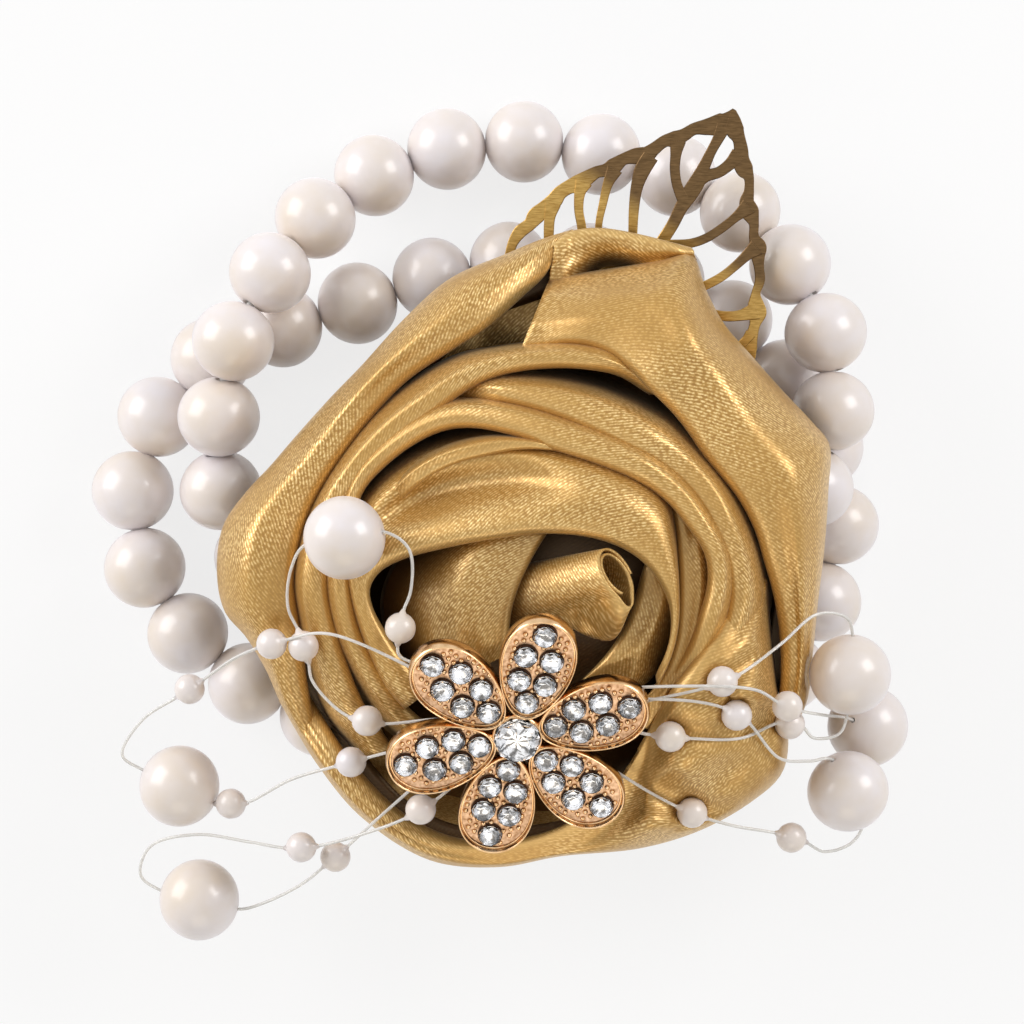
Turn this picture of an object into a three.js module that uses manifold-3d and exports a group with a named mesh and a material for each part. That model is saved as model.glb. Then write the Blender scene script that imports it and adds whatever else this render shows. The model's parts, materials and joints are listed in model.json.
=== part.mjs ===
// Wrist corsage: a rolled satin rose with a brass leaf and a stone-set flower on a felt back,
// two elastic strands of bored pearls that go round the wrist, and two sprays of pearls on
// clear nylon line. It lies on its felt back, as it is laid out for show. Millimetres, +Z up,
// origin at the middle of the felt's back face.
import * as THREE from 'three';
import { mergeVertices } from 'three/addons/utils/BufferGeometryUtils.js';
import Module from 'manifold-3d';

// Fits
const SEAT_GAP = 0.3;
const BORE_CLEARANCE = 0.55;

// Pearl strands
const PEARL_DIAMETER = 7.8;
const PEARL_LENGTH = 7.0;
const UPPER_PEARL_COUNT = 19;
const UPPER_PEARL_GAP = 0.62;
const LOWER_PEARL_COUNT = 20;
const LOWER_PEARL_GAP = 0.685;
const ROUTE_FITS = 8;
const ELASTIC_DIAMETER = 0.8;
const ELASTIC_STEPS = 96;
const STRAND_SPACING = 11.6;
const CROSSING_RISE = 7.3;
const PEARL_SIDES = 10;
const PEARL_STEPS = 4;
const CORD_SIDES = 5;
const CURVE_DIVISIONS = 2000;

// Felt back and the hot-melt glue that holds the strands and the rose to it
const FELT_DIAMETER = 33;
const FELT_THICKNESS = 1.5;
const GLUE_MARGIN = 0.5;
const GLUE_COVER = 1.0;
const CHANNEL_OVERRUN = 2;
const CHANNEL_SIDES = 10;
const ROUND_SIDES = 36;

// Satin rose
const ROSE_BASE_DIAMETER = 22;
const ROSE_BASE_CENTRE = new THREE.Vector2(0, -1);
const ROSE_BUD_CENTRE = new THREE.Vector2(7.4, 7.3);
const ROSE_RIM_THICKNESS = 2.2;
const ROSE_CUP_DROP = 1.8;
const ROSE_RISE = 15;
const ROSE_FULLNESS = 2.4;
const ROSE_FOLD_DEPTH = 3;
const ROSE_FOLD_GAP = 0.03;
const ROSE_GAP_SHARE = 0.3;
const ROSE_FACE_MIDDLE = 0.55;
const ROSE_SWELL = 5;
const ROSE_EDGE_EASE = 6;
const ROSE_CUP_SHARE = 0.5;
const ROSE_SIDES = 48;
const ROSE_OUTLINE = [
  [7.5, 41.3], [16.3, 40], [19.2, 32.8], [29.6, 21.3], [28.3, 6], [25.9, -10.4], [12.5, -17.6],
  [-3.9, -19.4], [-14.9, -15.2], [-24.5, -0.3], [-29, 8.5], [-22.1, 23.2], [-6.8, 37.6],
];
// Rims of the ribbon's turns, from the bud outwards: the share of the way from the bud to the
// outline at which each lies, every 30 degrees round from +X
const ROSE_RIMS = [
  [0.28, 0.2, 0.15, 0.15, 0.18, 0.3, 0.6, 0.6, 0.52, 0.45, 0.4, 0.34],
  [0.48, 0.4, 0.38, 0.35, 0.51, 0.68, 0.66, 0.69, 0.64, 0.56, 0.49, 0.45],
  [0.7, 0.6, 0.61, 0.63, 0.67, 0.73, 0.73, 0.79, 0.84, 0.72, 0.58, 0.6],
  [0.85, 0.92, 0.94, 0.9, 0.81, 0.82, 0.82, 0.92, 0.93, 0.92, 0.92, 0.88],
];

// Brass leaf
const LEAF_LENGTH = 49;
const LEAF_HALF_WIDTH = 13.5;
const LEAF_THICKNESS = 0.6;
const LEAF_BASE = new THREE.Vector2(-6, 12);
const LEAF_HEADING = THREE.MathUtils.degToRad(57);
const LEAF_TILT = THREE.MathUtils.degToRad(7);
const LEAF_STEM_LENGTH = 8;
const LEAF_STEM_WIDTH = 3;
const LEAF_VEINS = 5;
const LEAF_SLOT_WIDTH = 1.5;
const LEAF_RIB_WIDTH = 1.8;
const LEAF_SKEW = 0.8;
const LEAF_BLUNTNESS = 0.75;
const LEAF_STEPS = 12;
const LEAF_VEIN_START = 0.3;
const LEAF_VEIN_MARGIN = 2;
const LEAF_VEIN_SLOPE = 0.7;
const LEAF_SLOT_REACH = 0.62;
const LEAF_SLOT_LEAD = 0.08;

// Stone-set flower
const FLOWER_PLACE = new THREE.Vector2(-0.3, -6.7);
const FLOWER_DROP = 2.6;
const FLOWER_TILT = THREE.MathUtils.degToRad(27);
const FLOWER_RADIUS = 12.7;
const FLOWER_PETALS = 6;
const FIRST_PETAL_ANGLE = THREE.MathUtils.degToRad(19);
const PETAL_HALF_WIDTH = 3.6;
const PETAL_ROOT = 2.2;
const PETAL_FLOOR = 1.2;
const PETAL_RIM_HEIGHT = 0.8;
const PETAL_RIM_WIDTH = 0.5;
const SMALL_STONE_DIAMETER = 2.1;
const SMALL_STONE_HEIGHT = 0.7;
const SMALL_STONE_SINK = 0.2;
const SMALL_STONE_TABLE = 0.3;
const SMALL_STONE_SIDES = 6;
const STONE_ROW_SPREAD = 0.55;
// Places of the stones in a petal: share of its length from the root, and side of its middle
const STONE_PLACES = [[0.2, 0], [0.4, 1], [0.4, -1], [0.63, 1], [0.63, -1], [0.84, 0]];
const RIM_SINK = 0.4;
const HUB_MARGIN = 1.6;
const HUB_SIDES = 16;
const PETAL_SEGMENTS = 6;
const CENTRE_STONE_DIAMETER = 4.4;
const CENTRE_STONE_HEIGHT = 1.8;
const CENTRE_STONE_FOOT = 0.7;
const CENTRE_STONE_GIRDLE = 0.5;
const CENTRE_STONE_TABLE = 0.62;
const CENTRE_STONE_SIDES = 12;
const DAB_DIAMETER = 14;
const DAB_THICKNESS = 2.2;
const DAB_SIDES = 20;
const PRESSED_MARGIN = 5;

// Sprays of pearls and small beads on clear nylon line
const LINE_DIAMETER = 0.4;
const LINE_STEPS = 56;
const SPRAY_PEARL_DIAMETER = 7.8;
const SPRAY_PEARL_LENGTH = 7.3;
const SPRAY_BEAD_DIAMETER = 2.9;
const BEAD_SIDES = 7;
const BEAD_RINGS = 5;

const pearlRadius = PEARL_DIAMETER / 2;
const glueTop = PEARL_DIAMETER + GLUE_COVER;
const roseBase = glueTop + SEAT_GAP;
const roseRim = pearlRadius * 2 + CROSSING_RISE + SEAT_GAP;
const roseTop = roseRim + ROSE_RIM_THICKNESS + ROSE_RISE;
const flowerBack = PETAL_FLOOR / 2;
const flowerCentre = new THREE.Vector3(FLOWER_PLACE.x, FLOWER_PLACE.y, roseTop - FLOWER_DROP);

const ivory = new THREE.MeshStandardMaterial({ color: 0xf0e8e2, roughness: 0.25 });
const satin = new THREE.MeshStandardMaterial({ color: 0xc89b4b, roughness: 0.45 });
const brass = new THREE.MeshStandardMaterial({ color: 0xc79a42, roughness: 0.3, metalness: 1 });
const roseGold = new THREE.MeshStandardMaterial({ color: 0xd9a582, roughness: 0.25, metalness: 1 });
const crystal = new THREE.MeshStandardMaterial({ color: 0xe9edf2, roughness: 0.05 });
const clear = new THREE.MeshStandardMaterial({ color: 0xe6e6e6, roughness: 0.2 });
const felt = new THREE.MeshStandardMaterial({ color: 0xefe9dd, roughness: 0.95 });

const wasm = await Module();
wasm.setup();

/** A closed solid for joining and cutting, from any closed geometry. */
function solid(geometry) {
  const bare = geometry.clone();
  bare.deleteAttribute('normal');
  bare.deleteAttribute('uv');
  const merged = mergeVertices(bare, 1e-4);
  return new wasm.Manifold(new wasm.Mesh({
    numProp: 3,
    vertProperties: new Float32Array(merged.attributes.position.array),
    triVerts: new Uint32Array(merged.index.array),
  }));
}

/** The geometry of a joined or cut solid. */
function geometryOf(body) {
  const mesh = body.getMesh();
  const geometry = new THREE.BufferGeometry();
  geometry.setAttribute('position', new THREE.BufferAttribute(mesh.vertProperties, 3));
  geometry.setIndex(new THREE.BufferAttribute(mesh.triVerts, 1));
  geometry.computeVertexNormals();
  return geometry;
}

function piece(name, geometry, material) {
  const mesh = new THREE.Mesh(geometry, material);
  mesh.name = name;
  return mesh;
}

/** A round tube of the given diameter along a curve. */
function tube(curve, diameter, sides, steps) {
  const section = new THREE.Shape();
  for (let i = 0; i < sides; i += 1) {
    const angle = (2 * Math.PI * i) / sides;
    const point = [(diameter / 2) * Math.cos(angle), (diameter / 2) * Math.sin(angle)];
    if (i === 0) section.moveTo(...point);
    else section.lineTo(...point);
  }
  return new THREE.ExtrudeGeometry(section, { extrudePath: curve, steps, bevelEnabled: false });
}

/** A round plate standing on height z. */
function plate(diameter, thickness, z, sides) {
  const geometry = new THREE.CylinderGeometry(diameter / 2, diameter / 2, thickness, sides);
  return geometry.rotateX(Math.PI / 2).translate(0, 0, z + thickness / 2);
}

/** Half the chord that a circle of this radius has at height offset from its middle. */
function halfChord(radius, offset) {
  return Math.sqrt(radius ** 2 - offset ** 2);
}

/** A pearl bored along Y, with a small flat round each end of the bore. */
function pearlGeometry(diameter, length, bore) {
  const radius = diameter / 2;
  const flatAngle = Math.asin(length / diameter);
  const profile = [new THREE.Vector2(bore / 2, -length / 2)];
  for (let i = 0; i <= PEARL_STEPS; i += 1) {
    const angle = flatAngle * ((2 * i) / PEARL_STEPS - 1);
    profile.push(new THREE.Vector2(radius * Math.cos(angle), radius * Math.sin(angle)));
  }
  profile.push(new THREE.Vector2(bore / 2, length / 2), profile[0].clone());
  return new THREE.LatheGeometry(profile, PEARL_SIDES);
}

/** A pearl at a point, with its bore along a direction. */
function pearlAt(name, point, direction, diameter, length, bore) {
  const mesh = piece(name, pearlGeometry(diameter, length, bore), ivory);
  mesh.position.copy(point);
  mesh.quaternion.setFromUnitVectors(new THREE.Vector3(0, 1, 0), direction);
  return mesh;
}

// Each strand leaves the glue at the right, runs round the wrist's opening and comes back at
// the left. A point is x, y and its lift: 0 on the table, 1 on top of the other strand.
const strandExit = halfChord(FELT_DIAMETER / 2, STRAND_SPACING / 2) + SEAT_GAP;
const UPPER_ROUTE = [
  [20.6, 7, 0.15], [24.8, 11, 0.58], [28, 16.4, 0.92], [30, 23, 1], [30, 29.6, 1],
  [27.6, 35.8, 0.92], [23.6, 41.4, 0.6], [18.2, 45.8, 0.2], [12.2, 48.2, 0.03], [5.4, 49.8, 0],
  [-1.3, 50.6, 0], [-8.1, 49.6, 0], [-14.6, 47, 0.12], [-20.2, 42.6, 0.5], [-24.6, 36.8, 0.95],
  [-27.8, 30.5, 1.05], [-29.2, 22.8, 0.8], [-28.8, 15.4, 0.4], [-25.4, 9.6, 0.1], [-20.6, 6.6, 0],
];
const LOWER_ROUTE = [
  [22, -4.4, 0], [27, 0.4, 0], [29.6, 6.6, 0], [31, 13.2, 0], [29.6, 20.4, 0],
  [26, 27, 0], [21, 32.8, 0], [15.4, 36.4, 0], [9.3, 38.2, 0], [2.6, 38.9, 0], [-2.9, 38.5, 0],
  [-9.6, 36.9, 0], [-16.4, 34.6, 0], [-23.7, 32.3, 0], [-30.4, 29.2, 0], [-35.4, 23.6, 0],
  [-37.8, 16.6, 0], [-36.8, 9.4, 0], [-33, 3.2, 0], [-27.6, -1.6, 0], [-21.4, -5, 0],
];

/**
 * Middles of the pearls on a strand, evenly spaced between its two exits from the glue. The
 * route is drawn out or in about the felt's middle until the strand is as long as its pearls.
 */
function pearlPlaces(y, route, count, gap) {
  const exit = (x) => new THREE.Vector3(x, y, pearlRadius);
  const length = count * (PEARL_LENGTH + gap);
  let spread = 1;
  let curve;
  for (let fit = 0; fit < ROUTE_FITS; fit += 1) {
    const free = route.map(([px, py, lift]) => (
      new THREE.Vector3(spread * px, spread * py, pearlRadius + lift * CROSSING_RISE)));
    curve = new THREE.CatmullRomCurve3(
      [exit(strandExit), ...free, exit(-strandExit)], false, 'centripetal');
    curve.arcLengthDivisions = CURVE_DIVISIONS;
    spread *= 2 - curve.getLength() / length;
  }
  return Array.from({ length: count }, (_, i) => curve.getPointAt((i + 0.5) / count));
}

/** One strand: its elastic through the glue and the pearls, and the pearls one by one. */
function strand(name, y, places) {
  const group = new THREE.Group();
  const inGlue = (x) => new THREE.Vector3(x, y, pearlRadius);
  const chain = [inGlue(strandExit), ...places, inGlue(-strandExit)];
  const bore = ELASTIC_DIAMETER + 2 * BORE_CLEARANCE;
  const glued = [SEAT_GAP / 2, strandExit / 2, strandExit - SEAT_GAP];
  const path = glued.map((x) => inGlue(x));
  places.forEach((place, i) => {
    const direction = chain[i + 2].clone().sub(chain[i]).normalize();
    const half = direction.clone().multiplyScalar(PEARL_LENGTH / 2);
    path.push(place.clone().sub(half), place.clone().add(half));
    const label = String(i + 1).padStart(2, '0');
    group.add(pearlAt(
      `${name}_pearl_${label}`, place, direction, PEARL_DIAMETER, PEARL_LENGTH, bore));
  });
  path.push(...glued.reverse().map((x) => inGlue(-x)));
  const curve = new THREE.CatmullRomCurve3(path, false, 'centripetal');
  curve.arcLengthDivisions = CURVE_DIVISIONS;
  const cord = tube(curve, ELASTIC_DIAMETER, CORD_SIDES, ELASTIC_STEPS);
  group.add(piece(`${name}_elastic`, cord, clear));
  return group;
}

/** The glue over the felt, with a channel for each strand's elastic. */
function gluePad() {
  const bottom = FELT_THICKNESS + SEAT_GAP;
  const padDiameter = FELT_DIAMETER - 2 * GLUE_MARGIN;
  let body = solid(plate(padDiameter, glueTop - bottom, bottom, ROUND_SIDES));
  const channelDiameter = ELASTIC_DIAMETER + 2 * BORE_CLEARANCE;
  for (const side of [-1, 1]) {
    const channel = new THREE.CylinderGeometry(
      channelDiameter / 2, channelDiameter / 2, FELT_DIAMETER + CHANNEL_OVERRUN, CHANNEL_SIDES);
    channel.rotateZ(Math.PI / 2).translate(0, (side * STRAND_SPACING) / 2, pearlRadius);
    body = body.subtract(solid(channel));
  }
  return piece('glue_pad', geometryOf(body), clear);
}

/** Height of the plane behind the stone-set flower's glue, which presses the satin flat. */
function flowerSeat(x, y) {
  const depth = flowerBack + DAB_THICKNESS + 2 * SEAT_GAP;
  const along = (y - flowerCentre.y) * Math.tan(FLOWER_TILT);
  const reach = FLOWER_RADIUS + PRESSED_MARGIN;
  const near = Math.hypot(x - flowerCentre.x, y - flowerCentre.y) < reach;
  return near ? flowerCentre.z + along - depth / Math.cos(FLOWER_TILT) : Infinity;
}

/** Share of the way from bud to outline at which a rim crosses the ray at an angle. */
function rimShare(rim, angle) {
  const step = ((angle / (2 * Math.PI)) * rim.length + rim.length) % rim.length;
  const from = Math.floor(step);
  const ease = THREE.MathUtils.smoothstep(step - from, 0, 1);
  return THREE.MathUtils.lerp(rim[from], rim[(from + 1) % rim.length], ease);
}

/**
 * The ribbon's turns along one ray from the bud: in each a gap, the rim that rises from it and
 * the swell of its face. A station is a share of the way out and a height over the dome.
 */
function turnStations(angle) {
  const rims = ROSE_RIMS.map((rim) => rimShare(rim, angle));
  return rims.flatMap((share, k) => {
    const before = share - (rims[k - 1] ?? 0);
    const after = (rims[k + 1] ?? 1) - share;
    const gap = share - Math.min(ROSE_FOLD_GAP, ROSE_GAP_SHARE * before);
    const depth = ROSE_FOLD_DEPTH * Math.min(1, ROSE_EDGE_EASE * (1 - gap));
    return [[gap, -depth], [share, 0], [share + ROSE_FACE_MIDDLE * after, ROSE_SWELL * after]];
  });
}

/** The rolled rose: a full dome of a ribbon's turns, over a cup that opens from its base. */
function satinRose() {
  const outline = new THREE.CatmullRomCurve3(
    ROSE_OUTLINE.map(([x, y]) => new THREE.Vector3(x, y, 0)), true, 'centripetal',
  ).getSpacedPoints(ROSE_SIDES).slice(0, ROSE_SIDES);
  const rays = outline.map((edge) => {
    const angle = Math.atan2(edge.y - ROSE_BUD_CENTRE.y, edge.x - ROSE_BUD_CENTRE.x);
    return [...turnStations(angle), [1, 0]].map(([t, lift]) => {
      const x = THREE.MathUtils.lerp(ROSE_BUD_CENTRE.x, edge.x, t);
      const y = THREE.MathUtils.lerp(ROSE_BUD_CENTRE.y, edge.y, t);
      const top = roseRim + ROSE_RIM_THICKNESS + ROSE_RISE * (1 - t ** ROSE_FULLNESS);
      return new THREE.Vector3(x, y, Math.min(top + lift, flowerSeat(x, y)));
    });
  });
  const rings = rays[0].map((_, ring) => rays.map((ray) => ray[ring]));
  const base = outline.map((edge) => {
    const from = new THREE.Vector3(ROSE_BASE_CENTRE.x, ROSE_BASE_CENTRE.y, 0);
    const foot = edge.clone().sub(from).setLength(ROSE_BASE_DIAMETER / 2).add(from);
    return foot.setZ(roseBase);
  });
  rings.push(outline.map((edge) => edge.clone().setZ(roseRim)));
  rings.push(outline.map((edge, i) => (
    edge.clone().lerp(base[i], ROSE_CUP_SHARE).setZ(roseRim - ROSE_CUP_DROP))));
  rings.push(base);
  const points = [
    new THREE.Vector3(ROSE_BUD_CENTRE.x, ROSE_BUD_CENTRE.y, roseTop), ...rings.flat(),
    new THREE.Vector3(ROSE_BASE_CENTRE.x, ROSE_BASE_CENTRE.y, roseBase),
  ];
  const index = [];
  const at = (ring, i) => 1 + ring * ROSE_SIDES + (i % ROSE_SIDES);
  for (let i = 0; i < ROSE_SIDES; i += 1) {
    index.push(0, at(0, i + 1), at(0, i));
    for (let ring = 0; ring + 1 < rings.length; ring += 1) {
      index.push(at(ring, i), at(ring, i + 1), at(ring + 1, i + 1));
      index.push(at(ring, i), at(ring + 1, i + 1), at(ring + 1, i));
    }
    index.push(at(rings.length - 1, i), at(rings.length - 1, i + 1), points.length - 1);
  }
  const geometry = new THREE.BufferGeometry().setFromPoints(points);
  geometry.setIndex(index);
  geometry.computeVertexNormals();
  return piece('satin_rose', geometry, satin);
}

/** The thin leaf, pierced between its veins, rising from the glue to its tip. */
function brassLeaf() {
  const blade = LEAF_LENGTH - LEAF_STEM_LENGTH;
  const half = (s) => LEAF_HALF_WIDTH * Math.sin(Math.PI * s ** LEAF_SKEW) ** LEAF_BLUNTNESS;
  const edge = [];
  for (let i = 1; i < LEAF_STEPS; i += 1) {
    const s = i / LEAF_STEPS;
    edge.push(new THREE.Vector2(
      LEAF_STEM_LENGTH + s * blade, Math.max(half(s), LEAF_STEM_WIDTH / 2)));
  }
  const far = [new THREE.Vector2(0, LEAF_STEM_WIDTH / 2), ...edge];
  const near = far.map((p) => new THREE.Vector2(p.x, -p.y));
  const tip = new THREE.Vector2(LEAF_LENGTH, 0);
  const sheet = (points, depth) => solid(new THREE.ExtrudeGeometry(
    new THREE.Shape(points), { depth, bevelEnabled: false }));
  let body = sheet([...near, tip, ...far.reverse()], LEAF_THICKNESS);
  for (let i = 1; i <= LEAF_VEINS; i += 1) {
    const s = (i + LEAF_VEIN_START) / (LEAF_VEINS + LEAF_VEIN_MARGIN);
    const x = LEAF_STEM_LENGTH + s * blade;
    const reach = LEAF_SLOT_REACH * half(s + LEAF_SLOT_LEAD);
    const end = x + reach * LEAF_VEIN_SLOPE;
    for (const side of [-1, 1]) {
      const slot = sheet([
        new THREE.Vector2(x, (side * LEAF_RIB_WIDTH) / 2),
        new THREE.Vector2(x + LEAF_SLOT_WIDTH, side * LEAF_RIB_WIDTH),
        new THREE.Vector2(end + LEAF_SLOT_WIDTH, side * reach),
        new THREE.Vector2(end, side * (reach + LEAF_SLOT_WIDTH / 2)),
      ], 3 * LEAF_THICKNESS);
      body = body.subtract(slot.translate([0, 0, -LEAF_THICKNESS]));
    }
  }
  const mesh = piece('brass_leaf', geometryOf(body), brass);
  mesh.position.set(LEAF_BASE.x, LEAF_BASE.y, glueTop + SEAT_GAP);
  mesh.rotation.set(0, -LEAF_TILT, LEAF_HEADING, 'ZYX');
  return mesh;
}

/** The outline of one petal of the stone-set flower, drawn in or out by an offset. */
function petalOutline(offset) {
  const middle = (PETAL_ROOT + FLOWER_RADIUS) / 2;
  const halfLength = (FLOWER_RADIUS - PETAL_ROOT) / 2 + offset;
  const shape = new THREE.Shape();
  shape.absellipse(middle, 0, halfLength, PETAL_HALF_WIDTH + offset, 0, 2 * Math.PI);
  return shape;
}

/** The metal of the stone-set flower, with the small stones set in its petals. */
function flowerSetting() {
  const flat = (shape, depth, z) => new THREE.ExtrudeGeometry(
    shape, { depth, bevelEnabled: false, curveSegments: PETAL_SEGMENTS }).translate(0, 0, z);
  const rimShape = petalOutline(0);
  rimShape.holes.push(petalOutline(-PETAL_RIM_WIDTH));
  const floorTop = flowerBack;
  const petal = solid(flat(petalOutline(0), PETAL_FLOOR, -flowerBack))
    .add(solid(flat(rimShape, PETAL_RIM_HEIGHT + RIM_SINK, floorTop - RIM_SINK)));
  const hubDiameter = CENTRE_STONE_DIAMETER + HUB_MARGIN;
  let body = solid(plate(hubDiameter, PETAL_FLOOR, -flowerBack, HUB_SIDES));
  const stoneDepth = SMALL_STONE_HEIGHT + SMALL_STONE_SINK;
  const petalLength = FLOWER_RADIUS - PETAL_ROOT;
  for (let k = 0; k < FLOWER_PETALS; k += 1) {
    const angle = FIRST_PETAL_ANGLE + (2 * Math.PI * k) / FLOWER_PETALS;
    const turned = (part) => part.rotate([0, 0, THREE.MathUtils.radToDeg(angle)]);
    body = body.add(turned(petal));
    for (const [share, side] of STONE_PLACES) {
      const stone = new THREE.CylinderGeometry(SMALL_STONE_DIAMETER * SMALL_STONE_TABLE,
        SMALL_STONE_DIAMETER / 2, stoneDepth, SMALL_STONE_SIDES);
      stone.rotateX(Math.PI / 2);
      stone.translate(
        PETAL_ROOT + share * petalLength, side * SMALL_STONE_DIAMETER * STONE_ROW_SPREAD,
        floorTop - SMALL_STONE_SINK + stoneDepth / 2);
      body = body.add(turned(solid(stone)));
    }
  }
  return piece('flower_setting', geometryOf(body), roseGold);
}

/** The large stone in the middle: a table, a crown and a shallow point below its girdle. */
function centreStone() {
  const radius = CENTRE_STONE_DIAMETER / 2;
  const profile = [
    [0, 0], [radius * CENTRE_STONE_FOOT, 0],
    [radius, CENTRE_STONE_GIRDLE * CENTRE_STONE_HEIGHT],
    [radius * CENTRE_STONE_TABLE, CENTRE_STONE_HEIGHT], [0, CENTRE_STONE_HEIGHT],
  ].map(([r, h]) => new THREE.Vector2(r, h));
  const geometry = new THREE.LatheGeometry(profile, CENTRE_STONE_SIDES);
  geometry.rotateX(Math.PI / 2).translate(0, 0, flowerBack + SEAT_GAP);
  return piece('centre_stone', geometry, crystal);
}

/** The stone-set flower with the dab of glue behind it that holds the sprays' ends. */
function stoneFlower() {
  const group = new THREE.Group();
  const dab = plate(
    DAB_DIAMETER, DAB_THICKNESS, -flowerBack - SEAT_GAP - DAB_THICKNESS, DAB_SIDES);
  group.add(flowerSetting(), centreStone(), piece('flower_glue', dab, clear));
  group.position.copy(flowerCentre);
  group.rotation.x = FLOWER_TILT;
  return group;
}

// Each line of a spray leaves the glue behind the stone-set flower at one angle round it, in
// degrees, and a loop comes back at another. Points are x, y and z, and what sits on the line.
const SPRAY_LINES = {
  left_spray_1: { out: 132, back: 173, points: [
    [-11.2, 3.6, 31.4, 'bead'], [-10.2, 7.2, 32], [-10.4, 11, 32.8], [-16.4, 12, 31.8, 'pearl'],
    [-21.4, 9.2, 29.4], [-21.8, 5.4, 27], [-20.4, 1.8, 26.2, 'bead'], [-19.6, -1.4, 25.8],
    [-17.6, -3.8, 26], [-14.4, -5.2, 26.8, 'bead'],
  ] },
  left_spray_2: { out: 146, back: 190, points: [
    [-17.8, 3, 29.4], [-23.4, 2, 25.8, 'bead'], [-27, 0.6, 23.4], [-31.4, -2.4, 20.4, 'bead'],
    [-36, -5.4, 18.2], [-38, -8.8, 16.8], [-32.6, -11.8, 16, 'pearl'],
    [-27.6, -13.4, 17.8, 'bead'], [-21.8, -11, 20.6], [-16, -9.2, 23.6, 'bead'],
  ] },
  left_spray_3: { out: 226, back: 208, points: [
    [-9.4, -13.6, 25, 'bead'], [-14.2, -15.8, 23.2], [-20.8, -17.4, 20.6, 'bead'],
    [-25.8, -17, 18.8], [-31, -16.4, 16.8], [-35.4, -17.6, 15.4], [-36.4, -20.4, 14.4],
    [-30.8, -22.8, 14, 'pearl'], [-25, -23.2, 15], [-21, -21.2, 17],
    [-17.6, -18.4, 19, 'bead'], [-12.6, -13.8, 22.4],
  ] },
  right_spray_1: { out: 14, back: 2, points: [
    [18.8, -1.4, 31, 'bead'], [24.4, 2, 27.2], [28, 4.8, 25], [30.8, 4.4, 23.6],
    [31.2, -1, 21.8, 'pearl'], [30.2, -6.6, 21.2], [27.8, -7, 21.8],
    [25.4, -5.6, 24, 'bead'], [20.6, -6.8, 27.8], [14, -6.6, 29.4, 'bead'],
  ] },
  right_spray_2: { out: 22, back: -24, points: [
    [15.8, -3.2, 31], [20.2, -4.6, 29.2, 'bead'], [24.4, -8.8, 24.2], [27.4, -9.2, 21.4],
    [31.2, -12.2, 18.2, 'pearl'], [31.6, -17.2, 16.8], [29, -18, 17.2], [25.8, -16.6, 18.6, 'bead'],
    [20.4, -15.4, 20.8], [16.2, -14, 23.2, 'bead'], [12.2, -12, 25],
  ] },
  right_spray_3: { out: 30, points: [
    [18.4, -1.8, 32.4], [22, -2.2, 31.6], [25, -3.8, 28, 'bead'], [28.6, -4.8, 22.2],
    [31, -5.2, 17.6], [33.4, -6.2, 12.8, 'pearl'],
  ] },
};

/** A point on the rim of the glue behind the stone-set flower, half way through it. */
function lineRoot(degrees) {
  const angle = THREE.MathUtils.degToRad(degrees);
  const reach = DAB_DIAMETER / 2 + SEAT_GAP;
  const point = new THREE.Vector3(
    reach * Math.cos(angle), reach * Math.sin(angle),
    -flowerBack - SEAT_GAP - DAB_THICKNESS / 2);
  return point.applyAxisAngle(new THREE.Vector3(1, 0, 0), FLOWER_TILT).add(flowerCentre);
}

/** One line of a spray with its small beads, and the pearl on it, with its bore along the line. */
function sprayLine(name, { out, back, points }) {
  const group = new THREE.Group();
  const places = points.map(([x, y, z]) => new THREE.Vector3(x, y, z));
  const path = [lineRoot(out)];
  const beads = [];
  points.forEach(([, , , thing], i) => {
    if (thing === 'bead') {
      const bead = new THREE.SphereGeometry(SPRAY_BEAD_DIAMETER / 2, BEAD_SIDES, BEAD_RINGS);
      beads.push(solid(bead.translate(...places[i].toArray())));
    }
    if (thing !== 'pearl') {
      path.push(places[i]);
      return;
    }
    const next = places[i + 1] ?? places[i];
    const direction = next.clone().sub(places[i - 1]).normalize();
    const half = direction.clone().multiplyScalar(SPRAY_PEARL_LENGTH / 2);
    path.push(places[i].clone().sub(half), places[i].clone().add(half));
    const bore = LINE_DIAMETER + 2 * BORE_CLEARANCE;
    group.add(pearlAt(`${name}_pearl`, places[i], direction,
      SPRAY_PEARL_DIAMETER, SPRAY_PEARL_LENGTH, bore));
  });
  if (back !== undefined) path.push(lineRoot(back));
  const curve = new THREE.CatmullRomCurve3(path, false, 'centripetal');
  const line = solid(tube(curve, LINE_DIAMETER, CORD_SIDES, LINE_STEPS));
  const body = beads.reduce((joined, bead) => joined.add(bead), line);
  group.add(piece(`${name}_line`, geometryOf(body), clear));
  return group;
}

const corsage = new THREE.Group();
corsage.add(piece('felt_backing', plate(FELT_DIAMETER, FELT_THICKNESS, 0, ROUND_SIDES), felt));
corsage.add(gluePad());
const upperY = STRAND_SPACING / 2;
const lowerY = -STRAND_SPACING / 2;
corsage.add(strand(
  'upper', upperY, pearlPlaces(upperY, UPPER_ROUTE, UPPER_PEARL_COUNT, UPPER_PEARL_GAP)));
corsage.add(strand(
  'lower', lowerY, pearlPlaces(lowerY, LOWER_ROUTE, LOWER_PEARL_COUNT, LOWER_PEARL_GAP)));
corsage.add(satinRose());
corsage.add(brassLeaf());
corsage.add(stoneFlower());
for (const [name, line] of Object.entries(SPRAY_LINES)) corsage.add(sprayLine(name, line));

export default corsage;
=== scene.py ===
"""Wrist corsage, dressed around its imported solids.

A rolled satin rose with a brass leaf and a stone-set flower, two elastic strands of pearls and
two sprays of pearls on nylon line. Lengths are in metres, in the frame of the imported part.
"""

import json
import logging
import math
from collections.abc import Callable, Iterable
from dataclasses import dataclass, field
from enum import Enum

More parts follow.
